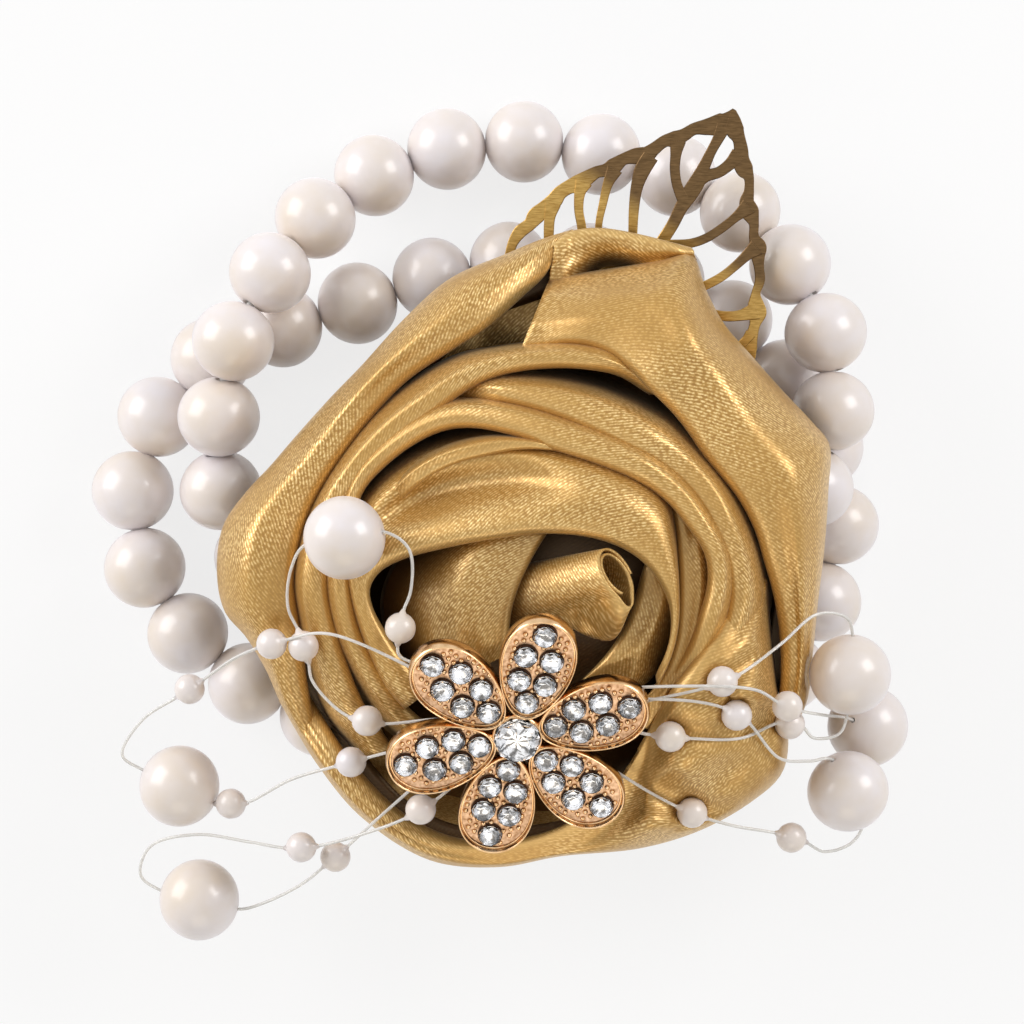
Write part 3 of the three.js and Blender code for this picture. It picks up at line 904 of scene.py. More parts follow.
BEAD, PEARL = Strung.BEAD, Strung.PEARL
SPRAY_ROUTES = (
    SprayRoute(Side.LEFT, 1, 132, 173, (
        (-11.2, 0.9, 30.2), (-11.2, 3.6, 31.4, BEAD), (-10.2, 7.2, 32), (-10.4, 11, 32.8),
        (-16.4, 12, 31.8, PEARL), (-21.4, 9.2, 29.4), (-21.8, 5.4, 27),
        (-20.4, 1.8, 26.2, BEAD), (-19.6, -1.4, 25.8), (-17.6, -3.8, 26),
        (-14.4, -5.2, 26.8, BEAD))),
    SprayRoute(Side.LEFT, 2, 146, 190, (
        (-17.8, 3, 29.4), (-23.4, 2, 25.8, BEAD), (-27, 0.6, 23.4), (-31.4, -2.4, 20.4, BEAD),
        (-36, -5.4, 18.2), (-38, -8.8, 16.8), (-32.6, -11.8, 16, PEARL),
        (-27.6, -13.4, 17.8, BEAD), (-21.8, -11, 20.6), (-16, -9.2, 23.6, BEAD))),
    SprayRoute(Side.LEFT, 3, 226, 208, (
        (-9.4, -13.6, 25, BEAD), (-14.2, -15.8, 23.2), (-20.8, -17.4, 20.6, BEAD),
        (-25.8, -17, 18.8), (-31, -16.4, 16.8), (-35.4, -17.6, 15.4), (-36.4, -20.4, 14.4),
        (-30.8, -22.8, 14, PEARL), (-25, -23.2, 15), (-21, -21.2, 17),
        (-17.6, -18.4, 19, BEAD), (-12.6, -13.8, 22.4))),
    SprayRoute(Side.RIGHT, 1, 14, 2, (
        (18.8, -1.4, 31, BEAD), (24.4, 2, 27.2), (28, 4.8, 25), (30.8, 4.4, 23.6),
        (31.2, -1, 21.8, PEARL), (30.2, -6.6, 21.2), (27.8, -7, 21.8),
        (25.4, -5.6, 24, BEAD), (20.6, -6.8, 27.8), (14, -6.6, 29.4, BEAD))),
    SprayRoute(Side.RIGHT, 2, 22, -24, (
        (15.8, -3.2, 31), (20.2, -4.6, 29.2, BEAD), (24.4, -8.8, 24.2), (27.4, -9.2, 21.4),
        (31.2, -12.2, 18.2, PEARL), (31.6, -17.2, 16.8), (29, -18, 17.2),
        (25.8, -16.6, 18.6, BEAD), (20.4, -15.4, 20.8), (16.2, -14, 23.2, BEAD),
        (12.2, -12, 25))),
    SprayRoute(Side.RIGHT, 3, 30, None, (
        (18.4, -1.8, 32.4), (22, -2.2, 31.6), (25, -3.8, 28, BEAD), (28.6, -4.8, 22.2),
        (31, -5.2, 17.6), (33.4, -6.2, 12.8, PEARL))),
)


@dataclass(frozen=True)
class Fold:
    """A soft dip, or a ridge if its depth is negative, in the face of a ribbon's turn."""

    along: float
    along_spread: float
    across: float
    across_spread: float
    depth: float


@dataclass(frozen=True)
class RibbonTurn:
    """One turn of the ribbon: a rounded rim along its inner edge and a face that falls outwards.

    The rim and the foot of the face are lines in the photograph's pixels. Heights come from the
    rose's dome, unless the foot has its own. With a side power the face rounds over to fall
    straight down at its foot, and a hem turns the foot under.
    """

    rim: PixelLine
    foot: PixelLine
    lift: float = 0.0
    foot_drop: float = 4.5 * MM
    foot_height: float | None = None
    rim_radius: float = 0.9 * MM
    wall_depth: float = 6 * MM
    wall_lean: float = 1.2 * MM
    bulge: float = 0.5 * MM
    fall_power: float = 2.2
    side_power: float = 0.0
    ripple: float = 0.14 * MM
    drift: float = 1.3
    end_sink: float = 3 * MM
    end_share: float = 0.12
    hem: float = 0.0
    folds: tuple[Fold, ...] = ()


INNER_FOLD = RibbonTurn(
    rim=((430, 690), (405, 660), (388, 636), (372, 606), (370, 588), (380, 572), (402, 560),
         (447, 548), (495, 539), (540, 534), (581, 536), (612, 544), (638, 558), (656, 577),
         (667, 598), (671, 620), (668, 646), (656, 676)),
    foot=((400, 712), (378, 690), (358, 640), (344, 590), (341, 550), (348, 514), (375, 462),
          (418, 424), (466, 411), (515, 416), (560, 432), (604, 447), (645, 466), (671, 492),
          (677, 526), (679, 560), (680, 590), (680, 614), (677, 638), (670, 662), (657, 690)),
    lift=0.3 * MM, fall_power=3.6, bulge=0.9 * MM, rim_radius=1.1 * MM,
    end_sink=1 * MM,
    folds=(Fold(0.42, 0.09, 0.39, 0.2, 3.5 * MM), Fold(0.53, 0.08, 0.42, 0.2, 2.5 * MM),
           Fold(0.34, 0.07, 0.43, 0.2, 2.2 * MM), Fold(0.42, 0.12, 0.92, 0.2, 5 * MM)),
)
INNER_RIDGE = RibbonTurn(
    rim=((380, 545), (390, 520), (405, 497), (429, 477), (455, 464), (484, 456), (516, 450),
         (548, 450), (580, 457), (612, 468)),
    foot=((354, 540), (368, 514), (388, 489), (406, 468), (428, 452), (456, 440), (490, 434),
          (530, 438), (575, 449), (612, 460)),
    lift=0.4 * MM, foot_drop=8 * MM, rim_radius=0.5 * MM, bulge=0.2 * MM, side_power=4.5,
    wall_depth=5 * MM, end_sink=4 * MM, end_share=0.3,
)
RIGHT_STRIP = RibbonTurn(
    rim=((664, 486), (674, 520), (678, 560), (679, 600), (676, 635), (668, 662), (652, 690),
         (626, 716)),
    foot=((690, 486), (706, 520), (718, 560), (724, 600), (718, 640), (704, 672), (682, 704),
          (652, 732)),
    lift=-2.4 * MM, foot_drop=3.4 * MM, rim_radius=0.6 * MM, end_sink=0.5 * MM,
)
SECOND_FOLD = RibbonTurn(
    rim=((440, 735), (407, 707), (379, 668), (358, 624), (351, 583), (353, 540), (362, 494),
         (388, 464), (420, 441), (447, 430), (474, 428), (511, 435), (554, 450), (597, 464),
         (635, 480), (667, 502), (689, 529), (704, 552), (708, 578), (700, 614), (685, 652),
         (655, 686)),
    foot=((420, 752), (385, 730), (350, 680), (326, 625), (318, 583), (322, 540), (334, 500),
          (362, 448), (402, 412), (446, 390), (496, 386), (546, 394), (590, 408), (632, 424),
          (668, 444), (700, 474), (724, 512), (740, 560), (738, 610), (718, 660), (680, 700)),
    lift=0.6 * MM, rim_radius=1.2 * MM, foot_drop=7.5 * MM, bulge=0.9 * MM,
    folds=(Fold(0.5, 0.07, 0.8, 0.2, 2.5 * MM), Fold(0.36, 0.08, 0.75, 0.2, 1.5 * MM)),
)
THIRD_FOLD = RibbonTurn(
    rim=((448, 404), (480, 400), (526, 408), (572, 423), (609, 440), (645, 459), (677, 482),
         (699, 508), (714, 537), (725, 566), (728, 600), (716, 640), (690, 680)),
    foot=((440, 384), (478, 372), (530, 362), (580, 360), (630, 372), (672, 400), (706, 440),
          (736, 480), (756, 522), (768, 562), (772, 604), (752, 650), (716, 690)),
    lift=0.1 * MM, rim_radius=1.0 * MM, foot_drop=5.5 * MM, bulge=0.6 * MM,
    folds=(Fold(0.3, 0.15, 0.74, 0.26, 4.6 * MM), Fold(0.62, 0.15, 0.5, 0.2, -0.5 * MM)),
)
LEFT_BAND = RibbonTurn(
    rim=((392, 748), (365, 707), (347, 663), (333, 617), (328, 583), (333, 540), (347, 508),
         (375, 468), (402, 441), (432, 418), (456, 398), (487, 380), (521, 371), (560, 368),
         (592, 370), (620, 376), (650, 394)),
    foot=((360, 760), (326, 715), (308, 668), (296, 620), (290, 583), (298, 535), (316, 490),
          (348, 440), (384, 400), (424, 370), (462, 352), (500, 345), (545, 340), (582, 340),
          (612, 348), (642, 368), (668, 396)),
    lift=0.6 * MM, rim_radius=1.2 * MM, foot_drop=8 * MM, bulge=0.4 * MM, side_power=2.2,
)
RIGHT_PETAL = RibbonTurn(
    rim=((519, 353), (545, 348), (572, 345), (600, 351), (627, 367), (650, 390), (673, 413),
         (688, 432), (702, 453), (719, 474), (738, 498), (755, 530), (764, 560), (775, 600),
         (781, 650), (779, 700), (768, 735)),
    foot=((550, 278), (585, 272), (625, 266), (660, 260), (691, 254), (706, 290), (724, 324),
          (750, 354), (782, 390), (812, 422), (829, 444), (828, 490), (824, 550), (818, 600),
          (813, 650), (806, 704), (782, 748)),
    lift=0.4 * MM, foot_height=17.4 * MM, rim_radius=1.3 * MM, bulge=0.4 * MM, end_sink=1.5 * MM,
    side_power=2.5, ripple=0.3 * MM, drift=0.9, hem=1.2 * MM,
    folds=(Fold(0.12, 0.09, 0.72, 0.22, 1.6 * MM), Fold(0.3, 0.08, 0.6, 0.35, -0.7 * MM),
           Fold(0.46, 0.1, 0.62, 0.3, 0.7 * MM), Fold(0.62, 0.12, 0.7, 0.3, -0.7 * MM)),
)
OUTER_BAND = RibbonTurn(
    rim=((319, 748), (314, 722), (308, 689), (303, 652), (298, 617), (294, 580), (300, 541),
         (311, 509), (325, 483), (348, 449), (375, 414), (408, 380), (452, 350), (488, 327),
         (521, 298), (545, 275), (557, 254), (567, 240)),
    foot=((312, 755), (297, 731), (280, 702), (266, 670), (246, 637), (225, 612), (217, 574),
          (223, 526), (246, 492), (270, 466), (294, 438), (330, 398), (362, 365), (403, 320),
          (449, 279), (508, 253), (544, 238), (573, 229)),
    lift=0.3 * MM, foot_height=17.4 * MM, rim_radius=1.4 * MM, bulge=0.4 * MM, end_sink=1 * MM,
    side_power=2.1, ripple=0.1 * MM, drift=1.1, hem=1.3 * MM,
    folds=(Fold(0.5, 0.1, 0.7, 0.3, 0.9 * MM), Fold(0.36, 0.08, 0.5, 0.35, -0.6 * MM),
           Fold(0.66, 0.12, 0.45, 0.3, -0.5 * MM)),
)
TOP_POCKET = RibbonTurn(
    rim=((554, 244), (568, 234), (586, 230), (606, 230), (640, 236), (691, 249)),
    foot=((548, 288), (568, 286), (590, 284), (612, 281), (650, 274), (696, 258)),
    lift=1.2 * MM, foot_drop=2.5 * MM, fall_power=1.4, rim_radius=0.6 * MM, bulge=0,
    end_sink=0.5 * MM, wall_depth=2.5 * MM, wall_lean=0,
    folds=(Fold(0.42, 0.2, 0.85, 0.4, 6 * MM),),
)
BOTTOM_PETAL = RibbonTurn(
    rim=((298, 682), (320, 718), (341, 750), (374, 790), (409, 820), (459, 841), (521, 841),
         (575, 822), (615, 787), (645, 742), (674, 690), (705, 648), (731, 606), (758, 566)),
    foot=((280, 700), (300, 734), (318, 762), (361, 814), (430, 858), (498, 865), (560, 854),
          (640, 846), (700, 828), (750, 800), (780, 772), (786, 736), (776, 692), (770, 640),
          (767, 588)),
    lift=0.3 * MM, foot_height=17.2 * MM, rim_radius=1.1 * MM, bulge=0.4 * MM,
    side_power=2.3, ripple=0.25 * MM, drift=0.7, hem=1.1 * MM,
    folds=(Fold(0.72, 0.07, 0.6, 0.22, 2.4 * MM), Fold(0.62, 0.06, 0.5, 0.3, -1.0 * MM),
           Fold(0.83, 0.06, 0.55, 0.3, -0.8 * MM)),
)
BUD_SKIRT = RibbonTurn(
    rim=((550, 526), (540, 541), (529, 560), (517, 586), (509, 614), (506, 655)),
    foot=((500, 516), (444, 528), (398, 560), (382, 600), (392, 650), (420, 695)),
    lift=-2.2 * MM, foot_drop=6 * MM, rim_radius=0.7 * MM, bulge=1.0 * MM, end_sink=0.5 * MM,
    fall_power=1.8,
)
BUD_WRAP = RibbonTurn(
    rim=((650, 548), (642, 572), (634, 600), (624, 626), (608, 652), (584, 678), (560, 700)),
    foot=((690, 545), (688, 580), (684, 616), (672, 650), (650, 680), (620, 704), (590, 724)),
    lift=-2.6 * MM, rim_radius=0.8 * MM, end_sink=0.5 * MM,
)
# The rose's outline from above, in millimetres.
ROSE_OUTLINE = (
    (7.5, 41.3), (16.3, 40), (19.2, 32.8), (29.6, 21.3), (28.3, 6), (25.9, -10.4), (12.5, -17.6),
    (-3.9, -19.4), (-14.9, -15.2), (-24.5, -0.3), (-29, 8.5), (-22.1, 23.2), (-6.8, 37.6))


@dataclass
class SatinRose:
    """The rolled rose: turns of one ribbon round a bud, over a gathered cup."""

    finishes: Finishes
    # Steps of the turns.
    along: int = 96
    across_wall: int = 6
    across_rim: int = 7
    across_face: int = 26
    across_hem: int = 6
    across_tail: int = 4
    line_samples: int = 8
    outline_samples: int = 12
    route_samples: int = 6
    # The dome and what all turns share.
    middle: tuple = (7.4 * MM, 7.3 * MM)
    crown: float = 32.6 * MM
    rim_level: float = 17.6 * MM
    fullness: float = 2.4
    rim_share: float = 0.4
    bulge_share: float = 0.1
    ripple_waves: float = 1.7
    hem_tail: float = 4 * MM
    foot_sink: float = 0.5
    # Painted shade: depth under the dome where it starts, and the depth over which it grows to full.
    painted_shade_start: float = 0.7 * MM
    painted_shade_span: float = 4.4 * MM
    edge_spread: float = 0.8 * MM
    # The ribbon deep between the turns, and the cup under them.
    heart_steps: tuple = (120, 26)
    heart_share: float = 0.88
    heart_depth: float = 11 * MM
    heart_floor: float = 12.5 * MM
    cup_steps: tuple = (288, 14)
    cup_inset: float = 2.6 * MM
    cup_rim: float = 15.6 * MM
    cup_power: float = 1.6
    cup_pleats: int = 26
    cup_pleat_depth: float = 0.5 * MM
    cup_base: tuple = (0, -1 * MM)
    cup_base_radius: float = 11 * MM
    # Room for what presses on the rose.
    flower_press: tuple = (12 * MM, 15.5 * MM)
    flower_clearance: float = 4.1 * MM
    pearl_clearance: float = 4.3 * MM
    bead_clearance: float = 1.75 * MM
    line_clearance: float = 0.4 * MM
    groove: float = 1.4 * MM
    # The bud and its folded tip.
    bud_steps: tuple = (30, 130)
    bud_pixel: tuple = (617, 575)
    bud_height: float = 33.6 * MM
    bud_radius: float = 2.6 * MM
    bud_flat: float = 0.8
    bud_length: float = 12.5 * MM
    bud_axis: tuple = (0.75, 0.2, 0.63)
    bud_turns: float = 1.7
    bud_shrink: float = 0.18
    bud_flare: float = 0.25
    bud_dip: float = 0.7 * MM
    bud_edge: float = 0.05
    tip_reach: float = 3.3 * MM
    tip_place: float = 0.8
    tip_spreads: tuple = (0.3, 0.17)
    tip_angle: float = 0.4
    # The cloth itself.
    ribbon_width: float = 50 * MM
    cloth: float = 0.2 * MM
    turns: tuple[RibbonTurn, ...] = (
        BUD_SKIRT, BUD_WRAP, INNER_FOLD, INNER_RIDGE, RIGHT_STRIP, SECOND_FOLD, THIRD_FOLD,
        LEFT_BAND, RIGHT_PETAL, OUTER_BAND, TOP_POCKET, BOTTOM_PETAL)

    def __post_init__(self) -> None:
        """Turns the outline into a reach for each angle about the bud, and lists what presses on it."""
        ring, count = np.array(ROSE_OUTLINE) * MM, self.outline_samples
        closed = smooth_line(np.vstack([ring[-2:], ring, ring[:2]]), count)[2 * count:-count]
        offset = closed - np.array(self.middle)
        self.angles = np.arctan2(offset[:, 1], offset[:, 0])
        self.reaches = np.hypot(offset[:, 0], offset[:, 1])
        self.lines = np.vstack([smooth_line(route.places(), self.route_samples)
                                for route in SPRAY_ROUTES])
        clear = {PEARL: self.pearl_clearance, BEAD: self.bead_clearance}
        self.balls = [(place, clear[kind]) for route in SPRAY_ROUTES
                      for place, kind in zip(route.places(), route.kinds()) if kind]

    def reach(self, angle: Array) -> Array:
        """Distance from the bud to the outline at each angle."""
        return np.interp(angle, self.angles, self.reaches, period=2 * np.pi)

    def dome(self, x: Array, y: Array) -> Array:
        """Height of the rose's dome: full at the bud, and less by a power of the share of the way out.

        Args:
            x: Places across.
            y: Places up the picture.

        Returns:
            Heights.
        """
        dx, dy = x - self.middle[0], y - self.middle[1]
        share = np.clip(np.hypot(dx, dy) / self.reach(np.arctan2(dy, dx)), 0, 1)
        return self.rim_level + (self.crown - self.rim_level) * (1 - share**self.fullness)

    def pressed(self, points: Array) -> Array:
        """Points lowered under the plane behind the flower, and under each line, pearl and bead.

        Under a line they follow a groove that widens with the square of the distance.

        Args:
            points: Points in any grid.

        Returns:
            The same points, none of them inside what presses on them.
        """
        x, y, z = (points[..., k] for k in range(3))
        fx, fy, fz = FLOWER_SEAT
        seat = fz + (y - fy) * math.tan(FLOWER_TILT) - self.flower_clearance
        full, none = self.flower_press
        near = 1 - eased((np.hypot(x - fx, y - fy) - full) / (none - full))
        z = z - near * np.clip(z - seat, 0, None)
        for px, py, pz in self.lines:
            apart = (x - px) ** 2 + (y - py) ** 2
            z = np.minimum(z, pz - self.line_clearance + apart / (2 * self.groove))
        for (px, py, pz), radius in self.balls:
            gap = radius**2 - (x - px) ** 2 - (y - py) ** 2
            under = pz - np.sqrt(np.clip(gap, 0, None))
            z = np.where(gap > 0, np.minimum(z, under), z)
        return np.stack([x, y, z], axis=-1)

    def painted_shade(self, grid: Array) -> Array:
        """Share of painted shade in a fold: how far each point lies under the pressed dome, eased.

        Args:
            grid: Points by row and column.

        Returns:
            Shares by row and column.
        """
        dome = grid.copy()
        dome[..., 2] = self.dome(grid[..., 0], grid[..., 1])
        depth = self.pressed(dome)[..., 2] - grid[..., 2]
        return eased((depth - self.painted_shade_start) / self.painted_shade_span)

    def ribbon(
        self, grid: Array, run: Array, across: Array, edge: Array | float,
        round_rows: bool = False,
    ) -> Surface:
        """Surface of ribbon with its flat coordinates and its tone of painted fold shade and edges.

        Args:
            grid: Points by row and column.
            run: Distances along the ribbon.
            across: Distances across it.
            edge: Shares of nearness to a folded edge.
            round_rows: Whether the last row joins the first.

        Returns:
            The surface.
        """
        run, across, edge = (np.broadcast_to(part, grid.shape[:2]) for part in (run, across, edge))
        tone = np.stack([self.painted_shade(grid), edge], axis=-1)
        return grid_surface(grid, np.stack([run, across], axis=-1), round_rows, tone=tone)

    def line(self, pixels: PixelLine, offset: float, level: float | None = None) -> Array:
        """A pixel line brought onto the dome.

        Args:
            pixels: The line's pixels.
            offset: Height over the dome.
            level: Fixed height instead, or None.

        Returns:
            Evenly spaced points.
        """
        flat = evenly(smooth_line(np.array(pixels, float), self.line_samples), self.along)
        if level is not None:
            return VIEW.place(flat, level)
        return VIEW.onto(flat, self.rim_level, lambda x, y: self.dome(x, y) + offset)

    def section(
        self, shape: RibbonTurn, width: Array, fall: Array,
    ) -> tuple[Array, Array]:
        """Cross-sections of a turn: a wall, a rim, a face and, where it has one, a hem.

        The wall leans by the square of its depth and the rim is a quarter circle. The face falls
        by a power of the way out or along a quarter arc, plus a swelling, a ripple and the bells
        of its folds. The hem is a quarter circle with a straight tail.

        Args:
            shape: The turn's sizes.
            width: Width of the face at each station.
            fall: Height that the face loses there.

        Returns:
            Distances outwards from the rim and heights over it, a row for each station.
        """
        u = np.linspace(0, 1, self.along)[:, None]
        r = np.minimum(shape.rim_radius, self.rim_share * width)
        a = np.linspace(0, 1, self.across_wall, endpoint=False)[None]
        wall_x = shape.wall_lean * (1 - a) ** 2 + 0 * r
        wall_z = -r - shape.wall_depth * (1 - a)
        angle = np.linspace(np.pi, np.pi / 2, self.across_rim)[None]
        round_x, round_z = r + r * np.cos(angle), -r + r * np.sin(angle)
        s = np.linspace(0, 1, self.across_face + 1)[None, 1:]
        if shape.side_power:
            bow = np.pi / 2 * s
            s = np.sin(bow) ** (2 / shape.side_power)
            face_z = -fall * (1 - np.cos(bow))
        else:
            face_z = -fall * s**shape.fall_power
        face_x = r + (width - r) * s
        ripple = shape.ripple * np.sin(2 * np.pi * (self.ripple_waves * s + shape.drift * u))
        swelling = np.minimum(shape.bulge, self.bulge_share * width)
        face_z = face_z + swelling * np.sin(np.pi * s) ** 2 + ripple * np.sin(np.pi * s)
        for fold in shape.folds:
            face_z = face_z - fold.depth * np.exp(
                -((u - fold.along) / fold.along_spread) ** 2
                - ((s - fold.across) / fold.across_spread) ** 2)
        x, z = [wall_x, round_x, face_x], [wall_z, round_z, face_z]
        if shape.hem:
            bend = np.linspace(0, np.pi / 2, self.across_hem + 1)[None, 1:]
            tail = np.linspace(0, 1, self.across_tail + 1)[None, 1:]
            edge_x, edge_z = face_x[:, -1:], face_z[:, -1:]
            x += [edge_x - shape.hem * (1 - np.cos(bend)), edge_x - shape.hem - self.hem_tail * tail]
            z += [edge_z - shape.hem * np.sin(bend), edge_z - shape.hem + 0 * tail]
        return np.hstack(x), np.hstack(z)

    def turn(self, shape: RibbonTurn) -> Surface:
        """One turn of the ribbon: its cross-section carried along the rim, towards the foot.

        Args:
            shape: The turn's lines and sizes.

        Returns:
            Its surface, with flat coordinates in metres along and across the ribbon.
        """
        rim = self.line(shape.rim, shape.lift)
        foot = self.line(shape.foot, -shape.foot_drop, shape.foot_height)
        u = np.linspace(0, 1, self.along)
        sink = shape.end_sink * (1 - eased(np.minimum(u, 1 - u) / shape.end_share))
        rim[:, 2] -= sink
        foot[:, 2] -= self.foot_sink * sink
        reach = foot[:, :2] - rim[:, :2]
        width = np.linalg.norm(reach, axis=1)[:, None]
        x, z = self.section(shape, width, rim[:, 2:] - foot[:, 2:])
        flat = rim[:, None, :2] + unit(reach)[:, None] * x[:, :, None]
        grid = self.pressed(np.concatenate([flat, (rim[:, 2:] + z)[:, :, None]], axis=2))
        steps = np.linalg.norm(np.diff(grid, axis=1), axis=2)
        across = np.hstack([np.zeros((self.along, 1)), np.cumsum(steps, axis=1)])
        crest = across[:, self.across_wall + self.across_rim // 2][:, None]
        edge = np.exp(-(((across - crest) / self.edge_spread) ** 2))
        return self.ribbon(grid, lengths_along((rim + foot) / 2)[:, None], across, edge)

    def bud(self) -> Surface:
        """Rolled bud: a spiral about a slanting axis whose radius falls turn by turn.

        It flares towards its foot, and its outer turn is drawn out to a folded tip by a bell in
        both angle and length.

        Returns:
            Its surface.
        """
        rows, columns = self.bud_steps
        mouth = VIEW.place(np.array([self.bud_pixel], float), self.bud_height)[0]
        s = np.linspace(0, 1, rows)[:, None]
        wound = np.linspace(0, self.bud_turns, columns)[None]
        angle = np.pi / 2 + 2 * np.pi * wound
        radius = self.bud_radius * (1 - self.bud_shrink * wound) * (1 + self.bud_flare * (1 - s))
        spread = np.where(s < self.tip_place, *self.tip_spreads)
        radius = radius + self.tip_reach * np.exp(
            -(((angle - 2 * np.pi) / self.tip_angle) ** 2) - ((s - self.tip_place) / spread) ** 2)
        height = self.bud_length * (s - 1) + self.bud_dip * np.cos(angle) * s**3
        local = ring_grid(radius, angle, height) * [1, self.bud_flat, 1]
        grid = self.pressed(local @ axes_along(np.array(self.bud_axis)).T + mouth)
        edge = np.exp(-(((1 - s) / self.bud_edge) ** 2))
        return self.ribbon(grid, self.bud_radius * angle, self.bud_length * s, edge)

    def heart(self) -> Surface:
        """Ribbon deep between the turns: the dome lowered, out to a share of the outline.

        Returns:
            Its surface.
        """
        angle = full_turn(self.heart_steps[0])
        share = np.linspace(0, self.heart_share, self.heart_steps[1])[None]
        grid = ring_grid(self.reach(angle) * share, angle, 0, self.middle)
        x, y = grid[..., 0], grid[..., 1]
        grid[..., 2] = np.maximum(self.dome(x, y) - self.heart_depth, self.heart_floor)
        return self.ribbon(self.pressed(grid), x, y, 0, round_rows=True)

    def cup(self) -> Surface:
        """Gathered underside: the rose's outline drawn in to its base, with sine pleats between.

        Returns:
            Its surface.
        """
        angle = full_turn(self.cup_steps[0])
        outline = self.reach(angle) - self.cup_inset
        edge = np.array(self.middle) + outline * np.hstack([np.cos(angle), np.sin(angle)])
        base = np.array(self.cup_base)
        foot = base + self.cup_base_radius * unit(edge - base)
        s = np.linspace(0, 1, self.cup_steps[1])[None]
        flat = edge[:, None] * (1 - s[:, :, None]) + foot[:, None] * s[:, :, None]
        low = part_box("satin_rose")[0][2]
        pleat = self.cup_pleat_depth * np.sin(self.cup_pleats * angle) * np.sin(np.pi * s)
        height = self.cup_rim - (self.cup_rim - low) * s**self.cup_power + pleat
        grid = np.concatenate([flat, height[:, :, None]], axis=2)
        uv = np.stack(np.broadcast_arrays(outline.mean() * angle, outline.mean() * s), axis=-1)
        return grid_surface(grid, uv, round_rows=True)

    def build(self) -> None:
        surface = joined([self.turn(shape) for shape in self.turns]
                         + [self.bud(), self.heart(), self.cup()])
        piece = add_piece("satin_ribbon", surface, self.finishes.satin, closed=False)
        thicken = piece.modifiers.new("cloth", "SOLIDIFY")
        thicken.thickness, thicken.offset = self.cloth, -1
        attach(piece, "flower")
        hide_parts("satin_rose")
        surface.area() / self.ribbon_width


@dataclass(frozen=True)
class BoredPearl:
    """A ball bored along Z, whose ends round over a lip into the bore."""

    diameter: float
    length: float
    bore: float
    lip: float
    rows: int = 34
    sides: int = 44
    lip_rows: int = 4
    lip_start: float = 0.2

    def surface(self) -> Surface:
        """The ball's arc of circle and both lips' quarter circles, turned round Z.

        Returns:
            The closed surface about the origin.
        """
        radius, hole, half = self.diameter / 2, self.bore / 2, self.length / 2
        end = math.acos((hole + self.lip) / radius)
        angle = np.linspace(-end, end, self.rows)
        ball = np.column_stack([radius * np.cos(angle), half * np.sin(angle) / math.sin(end)])
        turn = np.linspace(self.lip_start, np.pi / 2, self.lip_rows)
        lip = np.column_stack([hole + self.lip * (1 - np.sin(turn)),
                               half - self.lip * (1 - np.cos(turn))])
        return lathe(np.vstack([ball, lip, lip[::-1] * [1, -1]]), self.sides, closed=True)


@dataclass
class PearlStrand:
    """One strand: bored pearls on an elastic that runs on through the glue."""

    side: Side
    finishes: Finishes
    count: int
    length: float
    spacing: float = 11.6 * MM
    level: float = 3.9 * MM
    diameter: float = 8.0 * MM
    bore: float = 1.0 * MM
    lip: float = 0.2 * MM
    exit: float = 15.75 * MM
    cord: float = 0.7 * MM
    cord_end: float = 0.2 * MM
    cord_samples: int = 8
    cord_sides: int = 10
    blend_start: float = 5 * MM
    blend_end: float = 12 * MM

    def build(self) -> None:
        """Makes each pearl in its node's place, and the elastic that runs through them and through the
        glue.
        """
        name, level = self.side.value, self.level
        labels = [f"{name}_pearl_{k:02d}" for k in range(1, self.count + 1)]
        centres = np.array([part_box(label) for label in labels]).mean(axis=1)
        y = self.spacing / 2 * (1 if self.side is Side.UPPER else -1)
        chain = np.vstack([[self.exit, y, level], centres, [-self.exit, y, level]])
        ball = BoredPearl(self.diameter, self.length, self.bore, self.lip).surface()
        for label, centre, direction in zip(labels, centres, chain[2:] - chain[:-2]):
            piece = add_piece(f"{label}_ball", placed(ball, centre, axes_along(direction)),
                              self.finishes.pearl)
            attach(piece, bpy.data.objects[label]["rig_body"])
            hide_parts(label)
        chain = np.vstack([[self.cord_end, y, level], chain, [-self.cord_end, y, level]])
        line = smooth_line(chain, self.cord_samples)
        cord = add_piece(f"{name}_cord", tube(line, self.cord / 2, self.cord_sides),
                         self.finishes.elastic)
        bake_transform(cord)
        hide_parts(f"{name}_elastic")


